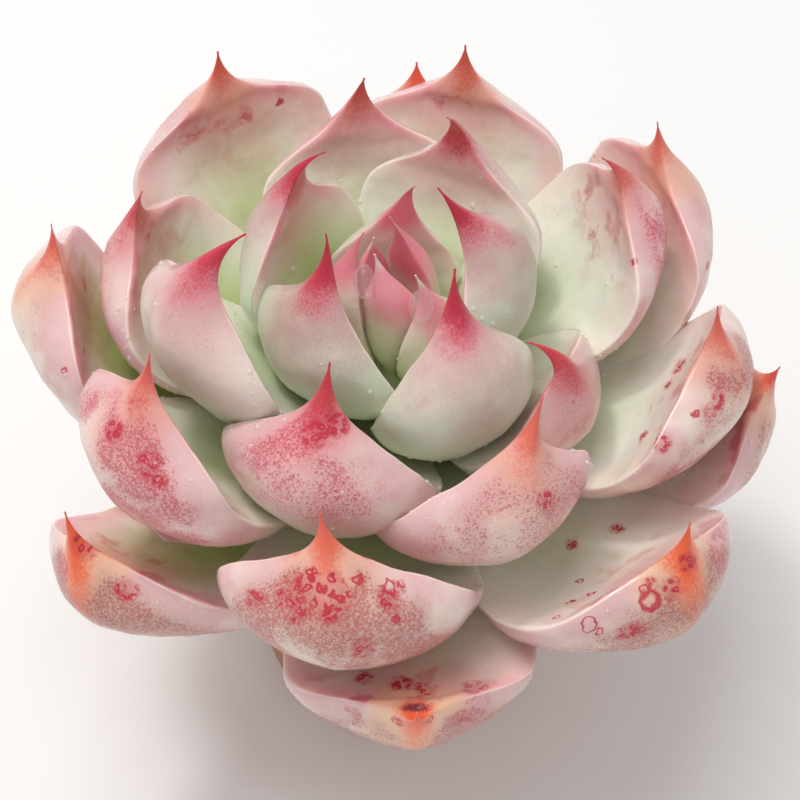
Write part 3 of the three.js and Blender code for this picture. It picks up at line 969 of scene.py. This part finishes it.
class StageSettings(bpy.types.PropertyGroup):
    """Floor and light."""

    floor: coloured("Floor", "Colour of the floor", 246, 246, 246)
    key: number("Key light", "Power of the main light", 2.85, unit="POWER")
    glint: number("Glint", "Power of the small lamp", 1.7, unit="POWER")
    sky: number("Sky", "Strength of the even white light", 0.545)


# Pieces


class ECHEVERIA_OT_pot(bpy.types.Operator):
    """Make the tapered pot with its rim band and drain holes"""

    bl_idname = "echeveria.pot"
    bl_label = "Pot"

    SIDES = 144
    DRAINS = 3

    def execute(self, context):
        sizes = context.scene.echeveria_pot
        piece = linked("pot_clay", self.turned(self.outline(sizes)))
        self.drill(piece, sizes)
        piece.data.materials.append(fired_clay(sizes))
        settle(piece, "pot")
        return {"FINISHED"}

    def outline(self, sizes):
        """Corners of the wall's section as (radius, height, rounding), from the foot's centre round the
        outside and back down the inside."""
        band = POT_TOP - sizes.rim_band
        slope = (sizes.body_radius - sizes.foot_radius) / (band - sizes.floor)
        inside_foot = sizes.foot_radius - sizes.wall
        inside_top = inside_foot + slope * (POT_TOP - sizes.floor)
        corners = [
            (0, 0, 0),
            (sizes.foot_radius, 0, 1.0 * MM),
            (sizes.body_radius, band - 0.4 * MM, 0.5 * MM),
            (POT_RIM_RADIUS, band, 1.1 * MM),
            (POT_RIM_RADIUS, POT_TOP, 1.3 * MM),
            (inside_top, POT_TOP, 1.1 * MM),
            (inside_foot, sizes.floor, 1.5 * MM),
            (0, sizes.floor, 0),
        ]
        return rounded(corners)

    def turned(self, outline):
        """The outline spun round the axis, a little uneven as thrown clay is."""
        verts = []
        for r, z in outline:
            for j in range(self.SIDES):
                turn = 2 * pi * j / self.SIDES
                outwards = Vector((cos(turn), sin(turn), 0))
                place = Vector((r * cos(turn), r * sin(turn), z))
                wobble = noise.noise(place * 60) * 0.12 * MM if r and 0 < z < POT_TOP else 0
                verts.append(place + outwards * min(wobble, 0))
        return smooth_mesh("pot_clay", verts, ring_faces(len(outline), self.SIDES), welded=True)

    def drill(self, piece, sizes):
        """Cuts the drain holes."""
        cutter = bmesh.new()
        for i in range(self.DRAINS):
            turn = 2 * pi * (i + 0.25) / self.DRAINS
            place = Vector((cos(turn), sin(turn), 0)) * sizes.drain_circle
            ring = bmesh.ops.create_cone(
                cutter, cap_ends=True, segments=24, radius1=sizes.drain_radius,
                radius2=sizes.drain_radius, depth=4 * sizes.floor,
            )
            bmesh.ops.translate(cutter, verts=ring["verts"], vec=place)
        mesh = bpy.data.meshes.new("drain_cutter")
        cutter.to_mesh(mesh)
        cutter.free()
        tool = linked("drain_cutter", mesh)
        cut = piece.modifiers.new("Drain holes", "BOOLEAN")
        cut.operation = "DIFFERENCE"
        cut.object = tool
        made = piece.evaluated_get(bpy.context.evaluated_depsgraph_get())
        piece.data = bpy.data.meshes.new_from_object(made)
        piece.modifiers.clear()
        bpy.data.objects.remove(tool)


def rounded(corners, steps=6):
    """The outline with an arc of the given size at each corner."""
    points = []
    for i, (r, z, size) in enumerate(corners):
        here = Vector((r, z))
        if not size:
            points.append((r, z))
            continue
        before = Vector(corners[i - 1][:2]) - here
        after = Vector(corners[i + 1][:2]) - here
        first = here + before.normalized() * min(size, before.length / 2)
        last = here + after.normalized() * min(size, after.length / 2)
        for j in range(steps + 1):
            t = j / steps
            arc = first * (1 - t) ** 2 + here * 2 * t * (1 - t) + last * t ** 2
            points.append((arc.x, arc.y))
    return points


class ECHEVERIA_OT_soil(bpy.types.Operator):
    """Make the potting mix and the grit that lies on it"""

    bl_idname = "echeveria.soil"
    bl_label = "Soil and grit"

    RINGS = 44
    SIDES = 132

    def execute(self, context):
        sizes = context.scene.echeveria_soil
        bed = linked("potting_mix", self.bed(sizes, context.scene.echeveria_pot))
        bed.data.materials.append(potting_mix(sizes))
        settle(bed, "soil")
        stones = grown("grit", grit_tree(grit_stone(sizes)), {
            "Bed": bed,
            "Stones": sizes.stones,
            "Width": sizes.stone_size,
        })
        settle(stones, "soil")
        return {"FINISHED"}

    def bed(self, sizes, pot):
        """A crumbly mound, with a skirt that follows the pot's wall down."""
        edge_height = POT_TOP - sizes.below_rim
        slope = (pot.body_radius - pot.foot_radius) / (POT_TOP - pot.rim_band - pot.floor)
        foot = pot.foot_radius - pot.wall - NODE_GAP

        def wall(z):
            return foot + slope * (z - pot.floor)

        edge = wall(edge_height)
        heel = SOIL_BOTTOM + 2 * MM
        rings = [
            (0.0, SOIL_BOTTOM),
            (foot - 1.6 * MM, SOIL_BOTTOM),
            (wall(heel), heel),
            (edge, edge_height - 0.8 * MM),
        ]
        rings += [(edge * (1 - i / self.RINGS), None) for i in range(self.RINGS + 1)]
        verts = []
        for r, z in rings:
            for j in range(self.SIDES):
                turn = 2 * pi * j / self.SIDES
                x, y = r * cos(turn), r * sin(turn)
                if z is None:
                    verts.append((x, y, self.crumbs(x, y, r / edge, edge_height, sizes)))
                else:
                    verts.append((x, y, z))
        return smooth_mesh("potting_mix", verts, ring_faces(len(rings), self.SIDES), welded=True)

    def crumbs(self, x, y, share, edge_height, sizes):
        """Height of the soil at a place. The crumbs fade at the wall."""
        place = Vector((x, y, 0)) / MM
        lumps = noise.fractal(place * 0.35, 1.0, 2.0, 5) * 0.7 + noise.noise(place * 1.6) * 0.25
        fade = min(1, (1 - share) * 12)
        return edge_height + sizes.mound * (1 - share ** 2) + (lumps - 0.5) * MM * fade


def grit_tree(material):
    """Stones of three sorts, strewn over the soil's top."""
    others = [("Bed", "NodeSocketObject"), ("Stones", "NodeSocketInt")]
    tree, given, output = new_tree("Grit", {"Width": 1.9 * MM}, others)
    bed = add(tree, "GeometryNodeObjectInfo", {"Object": given["Bed"]}).outputs["Geometry"]
    normal = add(tree, "GeometryNodeInputNormal").outputs[0]
    upward = Field(add(tree, "ShaderNodeSeparateXYZ", {0: normal}).outputs["Z"])
    place = add(tree, "GeometryNodeInputPosition").outputs[0]
    parts = add(tree, "ShaderNodeSeparateXYZ", {0: place})
    radius = (Field(parts.outputs["X"]) ** 2 + Field(parts.outputs["Y"]) ** 2) ** 0.5
    top = calculate("GREATER_THAN", upward, 0.3)
    clear = calculate("GREATER_THAN", radius, GRIT_FROM) * calculate("LESS_THAN", radius, GRIT_TO)
    density = Field(given["Stones"]) / OPEN_SOIL
    points = add(tree, "GeometryNodeDistributePointsOnFaces", {
        "Mesh": bed, "Density": density, "Selection": top * clear, "Seed": 4,
    })
    stone = add(tree, "GeometryNodeMeshUVSphere", {"Segments": 8, "Rings": 6, "Radius": 0.5})
    lumpy = noisy(tree, 1.6, 1.0)
    spot = add(tree, "GeometryNodeInputPosition").outputs[0]
    shift = scaled(tree, spot, (lumpy - 0.5) * 1.3)
    shaped = add(tree, "GeometryNodeSetPosition", {"Geometry": stone.outputs[0], "Offset": shift})
    any_way = {"Max": (6.28, 6.28, 6.28), "Seed": 2}
    turn = add(tree, "FunctionNodeRandomValue", any_way, data_type="FLOAT_VECTOR")
    size = Field(add(tree, "FunctionNodeRandomValue", {2: 0.0, 3: 1.0, "Seed": 3}).outputs[1])
    width = given["Width"] * (size ** 2 * 1.1 + 0.45)
    squash = combined(tree, width, width * 0.85, width * 0.7)
    strewn = add(tree, "GeometryNodeInstanceOnPoints", {
        "Points": points.outputs[0], "Instance": shaped.outputs[0],
        "Rotation": turn.outputs[0], "Scale": squash,
    })
    tone = add(tree, "FunctionNodeRandomValue", {2: 0.0, 3: 1.0, "Seed": 5}).outputs[1]
    toned = add(tree, "GeometryNodeStoreNamedAttribute", {
        "Geometry": strewn.outputs[0], "Name": "tone", "Value": tone,
    }, domain="INSTANCE", data_type="FLOAT")
    finish_tree(tree, toned.outputs[0], material, output)
    return tree


class ECHEVERIA_OT_stem(bpy.types.Operator):
    """Make the bare stem with its leaf scars"""

    bl_idname = "echeveria.stem"
    bl_label = "Stem"

    ROWS = 110
    SIDES = 72
    SCARS = 26
    SCAR_TURN = radians(137.5)  # from one leaf scar to the next
    SCAR_WIDTH, SCAR_HEIGHT = 0.75, 1.1 * MM  # half the scar: radians round the stem, and metres along it

    def execute(self, context):
        sizes = context.scene.echeveria_stem
        piece = linked("bare_stem", self.mesh(sizes))
        piece.data.materials.append(dry_bark(sizes))
        settle(piece, "stem")
        return {"FINISHED"}

    def scar_at(self, turn, z):
        """1 on the middle of a leaf scar and 0 away from it. Scars follow the golden angle upwards."""
        best = 0.0
        for i in range(self.SCARS):
            height = STEM_FOOT + (STEM_TOP - STEM_FOOT) * (i + 0.5) / self.SCARS
            across = (turn - self.SCAR_TURN * i + pi) % (2 * pi) - pi
            wide, high = across / self.SCAR_WIDTH, (z - height) / self.SCAR_HEIGHT
            best = max(best, 1 - wide ** 2 - (high + 0.5 * wide ** 2) ** 2)
        return best

    def mesh(self, sizes):
        verts, scars, young = [], [], []
        n = self.SIDES
        for i in range(self.ROWS + 1):
            share = i / self.ROWS
            z = STEM_FOOT + (STEM_TOP - STEM_FOOT) * share
            for j in range(n):
                turn = 2 * pi * j / n
                scar = self.scar_at(turn, z)
                place = Vector((cos(turn), sin(turn), z / sizes.radius)) * 2.2
                rough = noise.fractal(place, 1.0, 2.0, 4) * 0.22 * MM
                lift = sizes.scar_height * (min(scar, 0.35) / 0.35 if scar > 0 else 0)
                r = sizes.radius - 0.25 * MM + rough + lift
                verts.append((r * cos(turn), r * sin(turn), z))
                scars.append(min(1.0, scar * 2.5))
                young.append(max(0.0, share * 2.2 - 1.4))
        faces = ring_faces(self.ROWS + 1, n)
        faces.append(tuple(range(n))[::-1])
        faces.append(tuple(range(self.ROWS * n, (self.ROWS + 1) * n)))
        mesh = smooth_mesh("bare_stem", verts, faces)
        for name, values in (("scar", scars), ("young", young)):
            mesh.attributes.new(name, "FLOAT", "POINT").data.foreach_set("value", values)
        return mesh


# The rosette


def along_pairs(pairs, k):
    """The value at k on a line through (number, value) pairs."""
    for (k0, v0), (k1, v1) in zip(pairs, pairs[1:]):
        if k <= k1:
            return v0 + (v1 - v0) * (k - k0) / (k1 - k0)
    return pairs[-1][1]


LEAF_SIZES = {
    "Bearing": 0.0, "Reach": 30.0, "Rise": 20.0, "Curl": 60.0, "Width": 28.0, "Depth": 10.0, "Point": 8.0,
    "Pitch": 100.0, "Roll": 0.0, "Skew": 0.0, "Root radius": 5.0, "Root height": 3.0, "Taper": 4.0,
    "Widest": 0.5, "Tip radius": TIP_RADIUS, "Age": 0.5, "Warm": 0.0, "Speckle": 0.5, "Olive": 0.0,
    "Pale": 0.0, "Seed": 0.0,
}


def leaf_tree(material):
    """One leaf: a grid rolled round a curved midrib, drawn out to a spine. Millimetres and degrees."""
    tree, given, output = new_tree("Spine-tipped leaf", LEAF_SIZES)
    grid = add(tree, "GeometryNodeMeshGrid", {
        "Size X": 1.0, "Size Y": 1.0, "Vertices X": LEAF_ROUND + 1, "Vertices Y": LEAF_ROWS,
    })
    spot = add(tree, "ShaderNodeSeparateXYZ", {0: add(tree, "GeometryNodeInputPosition").outputs[0]})
    angle = (Field(spot.outputs["X"]) + 0.5) * (2 * pi)
    row = (Field(spot.outputs["Y"]) + 0.5) * (LEAF_ROWS - 1)
    open_ring = clamp(row) * clamp(LEAF_ROWS - 1 - row)  # 0 on the first and last row, which close the leaf
    t = 1 - (1 - clamp((row - 1) / (LEAF_ROWS - 2))) ** RING_CROWDING

    # The midrib: two arcs for the blade, solved to end at the reach and rise, and one for the spine
    curl = given["Curl"] * radians(1)
    blade_arcs = [(INNER_LENGTH, curl * INNER_TURN), (1 - INNER_LENGTH, curl * (1 - INNER_TURN))]
    unit_out, unit_up, _ = walk(blade_arcs, 0)
    out = given["Reach"] - given["Root radius"]
    up = given["Rise"] - given["Root height"]
    length = ((out ** 2 + magnitude(up) ** 2) / (unit_out ** 2 + unit_up ** 2)) ** 0.5
    start = calculate("ARCTAN2", up, out) - calculate("ARCTAN2", unit_up, unit_out)
    total = length + given["Point"]
    spine_turn = 2 * (given["Pitch"] * radians(1) - start - curl)
    s = t * total
    steps = []
    reached = 0
    for part, turn in (
        (length * INNER_LENGTH, curl * INNER_TURN),
        (length * (1 - INNER_LENGTH), curl * (1 - INNER_TURN)),
        (given["Point"], spine_turn),
    ):
        gone = clamp(s - reached, 0, part)
        steps.append((gone, turn * gone / part))
        reached = part + reached
    rib_out, rib_up, pitch = walk(steps, start)

    # Half width and depth at each ring
    from_tip = total - s
    spine = (calculate("EXPONENT", smaller(from_tip / given["Taper"], 8)) - 1) * FLARE + TINY
    rising = swell(t, given["Widest"], WIDENING_POWER) * (1 - BASE_WIDTH) + BASE_WIDTH
    past = clamp((t - given["Widest"]) / (SHOULDER_END - given["Widest"]))
    falling = (1 - past ** SHOULDER_POWER) ** 0.5
    blade = given["Width"] / 2 * choose(calculate("LESS_THAN", t, given["Widest"]), rising, falling)
    w = larger(narrower(spine, blade, SPINE_BLEND), given["Tip radius"])
    full = given["Depth"] * (swell(t, DEEPEST, DEEPENING_POWER) * (1 - BASE_DEPTH) + BASE_DEPTH)
    depth = narrower(w, full, KEEL_BLEND)

    # The section: a dished upper face between soft ridges, and a keeled under face
    c, s_round = cosine(angle), sine(angle)
    ridge = smaller(w / RIDGE_FULL, 1) * smaller(t + 0.25, 1) * RIDGE
    dish = smaller(w / DISH_FULL, 1) ** 2 * smaller(t * 2.2, 1) * DISH
    top_height = ridge * (1 - magnitude(c) ** RIDGE_SQUARENESS) ** 0.5 - dish * s_round * s_round
    keel = clamp((t - KEEL_START) / KEEL_SPAN) * KEEL_SHARPENING + 1
    low_height = -depth * magnitude(s_round) ** KEEL_ROUNDNESS
    above = calculate("GREATER_THAN", s_round, -1e-5)
    side = calculate("SIGN", c)
    wide = w * choose(above, c, side * magnitude(c) ** keel)
    thick = choose(above, top_height, low_height)

    # Placed along the midrib, with twist and skew
    shift = given["Skew"] * clamp((t - SKEW_START) / (1 - SKEW_START)) ** SKEW_POWER
    twist = given["Roll"] * radians(1) * t
    x_local = wide * open_ring + shift
    z_local = thick * open_ring
    lift = x_local * sine(twist) + z_local * cosine(twist)
    place = combined(
        tree,
        x_local * cosine(twist) - z_local * sine(twist),
        -(given["Root radius"] + rib_out - sine(pitch) * lift),
        given["Root height"] + rib_up + cosine(pitch) * lift,
    )

    geometry = grid.outputs["Mesh"]
    kept = {
        "along": t, "from_tip": from_tip, "across": wide, "half_width": w, "upper": s_round,
        "age": given["Age"], "warm": given["Warm"], "speckle": given["Speckle"],
        "olive": given["Olive"], "pale": given["Pale"],
    }
    for name, value in kept.items():
        keeping = {"Name": name, "Value": value}
        geometry = changed(tree, geometry, "StoreNamedAttribute", keeping, domain="POINT", data_type="FLOAT")
    geometry = changed(tree, geometry, "SetPosition", {"Position": place})
    geometry = changed(tree, geometry, "MergeByDistance", {"Distance": SEAM_GAP})
    geometry = uneven_skin(tree, geometry, given["Seed"])
    geometry = changed(tree, geometry, "SetShadeSmooth", {})
    geometry = changed(tree, geometry, "Transform", {
        "Translation": (0, 0, ROSETTE_HEIGHT),
        "Rotation": combined(tree, z=given["Bearing"] * radians(1)),
        "Scale": (MM, MM, MM),
    })
    finish_tree(tree, geometry, material, output)
    return tree


def uneven_skin(tree, geometry, seed):
    """Gentle lumps and hollows, other on each leaf, that fade along the spine."""
    half_width = Field(add(tree, "GeometryNodeInputNamedAttribute", {"Name": "half_width"}).outputs[0])
    spot = add(tree, "GeometryNodeInputPosition").outputs[0]
    moved = vector(tree, "ADD", spot, combined(tree, seed * 37, seed * 11, seed * 5))
    broad = noisy(tree, 0.1, 1.0, moved)
    small = noisy(tree, 0.4, 1.0, moved)
    height = ((broad - 0.5) * 1.5 + (small - 0.5) * 0.35) * clamp(half_width / 8)
    normal = add(tree, "GeometryNodeInputNormal").outputs[0]
    return changed(tree, geometry, "SetPosition", {"Offset": scaled(tree, normal, height)})


def camera_stand():
    """Where the camera stands, and how it is turned."""
    rise = radians(ELEVATION)
    place = SUBJECT + DISTANCE * Vector((0, -cos(rise), sin(rise)))
    return place, Euler((radians(90 - ELEVATION + TILT), 0, radians(PAN)))


class Photo:
    """Finds the places on the leaves that the photograph's pixels show."""

    def __init__(self, leaves):
        work = bmesh.new()
        for leaf in leaves:
            work.from_mesh(leaf.data)
        self.skin = BVHTree.FromBMesh(work)
        work.free()

    def place(self, across, down):
        """The place that a pixel shows, in millimetres."""
        half = PHOTO_SIDE / 2
        aim = Vector((across / half - 1, 1 - down / half, -2 * LENS / SENSOR))
        stand, turn = camera_stand()
        aim.rotate(turn)
        return tuple(self.skin.ray_cast(stand, aim.normalized())[0] / MM)


class ECHEVERIA_OT_leaves(bpy.types.Operator):
    """Make the rosette's leaves, from the bud outwards"""

    bl_idname = "echeveria.leaves"
    bl_label = "Leaves"

    def execute(self, context):
        settings = context.scene.echeveria_rosette
        material, nodes, shader = new_material("leaf_flesh")
        tree = leaf_tree(material)
        group = bpy.data.collections.new("leaves")
        context.scene.collection.children.link(group)
        for k in range(len(LEAVES)):
            leaf = grown(f"leaf_{k:02d}", tree, self.values(k, settings))
            group.objects.link(leaf)
            context.scene.collection.objects.unlink(leaf)
        photo = Photo(group.objects)
        leaf_flesh(nodes, shader, settings, photo)
        spots = [(photo.place(*pixel), size, 1.0) for *pixel, size in BLOTCHES]
        spots += [(photo.place(*pixel), size, 0.3) for *pixel, size in FAINT_BLOTCHES]
        for leaf in group.objects:
            self.blotch(leaf.data, spots)
            settle(leaf, "rosette")
        return {"FINISHED"}

    def blotch(self, mesh, spots):
        """Keeps on each vertex how deep it lies in a blotch, from 0 to 1."""
        places = numpy.empty(len(mesh.vertices) * 3)
        mesh.vertices.foreach_get("co", places)
        places = places.reshape(-1, 3) / MM
        deep = numpy.zeros(len(places))
        for spot, size, depth in spots:
            away = numpy.linalg.norm(places - numpy.array(spot), axis=1)
            deep = numpy.maximum(deep, depth * (1 - away / (size * 1.3)))
        mesh.attributes.new("blotch", "FLOAT", "POINT").data.foreach_set("value", deep)

    def values(self, k, settings):
        """The tree's inputs for leaf k."""
        lean, reach, rise, curl, width, depth, point, pitch, roll, skew = LEAVES[k]
        bearing = (settings.first_turn + settings.golden_angle * k) / radians(1) + lean
        rules = (along_pairs(pairs, k) for pairs in (ROOT_RADIUS, ROOT_HEIGHT, TAPER, WIDEST))
        age = k / (len(LEAVES) - 1)
        numbers = (
            bearing, reach, rise, curl, width, depth, point, pitch, roll, skew,
            *rules, TIP_RADIUS, age, *LOOKS[k], k,
        )
        return {label: float(number) for label, number in zip(LEAF_SIZES, numbers)}


class ECHEVERIA_OT_core(bpy.types.Operator):
    """Make the green heart that the leaves stand on"""

    bl_idname = "echeveria.core"
    bl_label = "Core"

    OUTLINE = ((0, -6), (7.0, -6), (8.2, -3), (8, 0), (6.6, 3), (4.6, 6), (2.4, 9), (0, 10.5))
    SIDES = 48

    def execute(self, context):
        corners = [(r * MM, ROSETTE_HEIGHT + z * MM, 0 if r == 0 else 1 * MM) for r, z in self.OUTLINE]
        verts = []
        outline = rounded(corners)
        for r, z in outline:
            for j in range(self.SIDES):
                turn = 2 * pi * j / self.SIDES
                wave = 1 + 0.04 * sin(5 * turn + z / MM * 0.8)
                verts.append((r * wave * cos(turn), r * wave * sin(turn), z))
        faces = ring_faces(len(outline), self.SIDES)
        piece = linked("heart", smooth_mesh("heart", verts, faces, welded=True))
        piece.data.materials.append(core_flesh(context.scene.echeveria_rosette))
        settle(piece, "rosette")
        return {"FINISHED"}


def dew_tree(material):
    """Beads of water on the leaves, closest together along the margins."""
    others = [("Leaves", "NodeSocketCollection")]
    tree, given, output = new_tree("Dew", {"Density": 520000.0, "Bead": 0.5 * MM}, others)
    leaves = add(tree, "GeometryNodeCollectionInfo", {"Collection": given["Leaves"]}).outputs[0]
    leaves = changed(tree, leaves, "RealizeInstances", {})

    def read(name):
        return Field(add(tree, "GeometryNodeInputNamedAttribute", {"Name": name}).outputs[0])

    edge = clamp(magnitude(read("across")) / read("half_width"))
    chance = ramp(edge, 0.92, 1.0) + ramp(read("along"), 0.75, 0.45) * 0.15 + 0.04
    chance = chance * ramp(noisy(tree, 90.0, 2.0), 0.5, 0.62) * ramp(read("from_tip"), 7.0, 12.0)
    points = add(tree, "GeometryNodeDistributePointsOnFaces", {
        "Mesh": leaves, "Density": given["Density"] * chance, "Seed": 11,
    })
    bead = add(tree, "GeometryNodeMeshUVSphere", {"Segments": 8, "Rings": 5, "Radius": 1.0})
    smooth = changed(tree, bead.outputs[0], "SetShadeSmooth", {})
    draw = Field(add(tree, "FunctionNodeRandomValue", {2: 0.0, 3: 1.0, "Seed": 7}).outputs[1])
    radius = given["Bead"] * (draw ** 4 * 0.65 + 0.35)
    strewn = add(tree, "GeometryNodeInstanceOnPoints", {
        "Points": points.outputs[0], "Instance": smooth,
        "Rotation": points.outputs["Rotation"], "Scale": combined(tree, radius, radius, radius * 0.62),
    })
    finish_tree(tree, strewn.outputs[0], material, output)
    return tree


class ECHEVERIA_OT_dew(bpy.types.Operator):
    """Make the small beads of water and the large drops"""

    bl_idname = "echeveria.dew"
    bl_label = "Dew"

    def execute(self, context):
        settings = context.scene.echeveria_dew
        water = water_with_painted_sheen("dew_water", 0.35, 0.6, 0.0)
        dew = grown("dew", dew_tree(water), {
            "Leaves": bpy.data.collections["leaves"],
            "Density": settings.density,
            "Bead": settings.bead,
        })
        settle(dew, "rosette")
        self.drops(water_with_painted_sheen("drop_water", 0.2, 0.85, 0.6))
        return {"FINISHED"}

    def drops(self, water):
        """Large drops, each a flattened ball with its middle on its leaf."""
        work = bmesh.new()
        for x, y, z, nx, ny, nz, width, length, height in DROPS:
            bulge = Vector((nx, ny, nz)).normalized()
            across = Vector((0, 0, 1)).cross(bulge).normalized()
            turn = Matrix((across, bulge.cross(across), bulge)).transposed()
            size = Matrix.Diagonal((width / 2, length / 2, height))
            shape = (turn @ size).to_4x4() @ Matrix.Scale(MM, 4)
            place = Matrix.Translation(Vector((x, y, z)) * MM) @ shape
            bmesh.ops.create_icosphere(work, subdivisions=4, radius=1, matrix=place)
        mesh = bpy.data.meshes.new("drops")
        work.to_mesh(mesh)
        work.free()
        mesh.shade_smooth()
        mesh.materials.append(water)
        settle(linked("drops", mesh), "rosette")


class ECHEVERIA_OT_stage(bpy.types.Operator):
    """Make the floor, the lights and the camera"""

    bl_idname = "echeveria.stage"
    bl_label = "Stage"

    FLOOR_HALF = 3.0
    LAMP_COLOUR = (1.0, 0.98, 0.95)
    KEY_SIZE, KEY_PLACE = 0.42, (-0.14, 0.04, 0.88)
    GLINT_SIZE, GLINT_PLACE = 0.12, (-0.24, 0.2, 0.85)

    def execute(self, context):
        settings = context.scene.echeveria_stage
        self.floor(settings)
        self.light(context, settings)
        self.camera(context)
        return {"FINISHED"}

    def floor(self, settings):
        half = self.FLOOR_HALF
        corners = [(-half, -half, 0), (half, -half, 0), (half, half, 0), (-half, half, 0)]
        mesh = bpy.data.meshes.new("stage_floor")
        mesh.from_pydata(corners, [], [(0, 1, 2, 3)])
        floor = linked("stage_floor", mesh)
        material, tree, shader = new_material("pale_floor")
        shader.inputs["Base Color"].default_value = (*settings.floor, 1)
        feed(shader.inputs["Roughness"], 0.8 + cloudy(tree, millimetres(tree), 40) * 0.1)
        mesh.materials.append(material)

    def light(self, context, settings):
        self.lamp("key", settings.key, self.KEY_SIZE, self.KEY_PLACE)
        self.lamp("glint", settings.glint, self.GLINT_SIZE, self.GLINT_PLACE)
        world = bpy.data.worlds.new("studio")
        world.use_nodes = True
        background = world.node_tree.nodes["Background"]
        background.inputs["Color"].default_value = (1, 1, 1, 1)
        background.inputs["Strength"].default_value = settings.sky
        context.scene.world = world
        context.scene.view_settings.view_transform = "Standard"

    def lamp(self, name, power, size, place):
        """A square lamp that faces the subject."""
        light = bpy.data.lights.new(name, "AREA")
        light.energy = power
        light.size = size
        light.color = self.LAMP_COLOUR
        lamp = linked(name, light)
        lamp.location = Vector(place)
        lamp.rotation_euler = (SUBJECT - lamp.location).to_track_quat("-Z", "Y").to_euler()

    def camera(self, context):
        lens = bpy.data.cameras.new("camera")
        lens.lens = LENS
        lens.sensor_width = SENSOR
        lens.clip_start, lens.clip_end = 0.01, 10
        camera = bpy.data.objects.new("camera", lens)
        camera.location, camera.rotation_euler = camera_stand()
        context.scene.collection.objects.link(camera)
        context.scene.camera = camera


class ECHEVERIA_PT_panel(bpy.types.Panel):
    """Lists the pieces"""

    bl_label = "Potted echeveria"
    bl_idname = "ECHEVERIA_PT_panel"
    bl_space_type = "VIEW_3D"
    bl_region_type = "UI"
    bl_category = "Echeveria"

    def draw(self, context):
        for operator in OPERATORS:
            self.layout.operator(operator.bl_idname)
        for name in SETTINGS:
            box = self.layout.box()
            group = getattr(context.scene, name)
            for label in group.bl_rna.properties.keys():
                if label not in ("rna_type", "name"):
                    box.prop(group, label)


OPERATORS = (
    ECHEVERIA_OT_pot,
    ECHEVERIA_OT_soil,
    ECHEVERIA_OT_stem,
    ECHEVERIA_OT_core,
    ECHEVERIA_OT_leaves,
    ECHEVERIA_OT_dew,
    ECHEVERIA_OT_stage,
)
SETTINGS = {
    "echeveria_pot": PotSettings,
    "echeveria_soil": SoilSettings,
    "echeveria_stem": StemSettings,
    "echeveria_rosette": RosetteSettings,
    "echeveria_dew": DewSettings,
    "echeveria_stage": StageSettings,
}


def register():
    for cls in (*SETTINGS.values(), *OPERATORS, ECHEVERIA_PT_panel):
        bpy.utils.register_class(cls)
    for name, group in SETTINGS.items():
        setattr(bpy.types.Scene, name, bpy.props.PointerProperty(type=group))


def unregister():
    for name in SETTINGS:
        delattr(bpy.types.Scene, name)
    for cls in (ECHEVERIA_PT_panel, *OPERATORS, *SETTINGS.values()):
        bpy.utils.unregister_class(cls)


def main():
    register()
    bpy.ops.echeveria.pot()
    bpy.ops.echeveria.soil()
    bpy.ops.echeveria.stem()
    bpy.ops.echeveria.core()
    bpy.ops.echeveria.leaves()
    bpy.ops.echeveria.dew()
    bpy.ops.echeveria.stage()


if __name__ == "__main__":
    main()
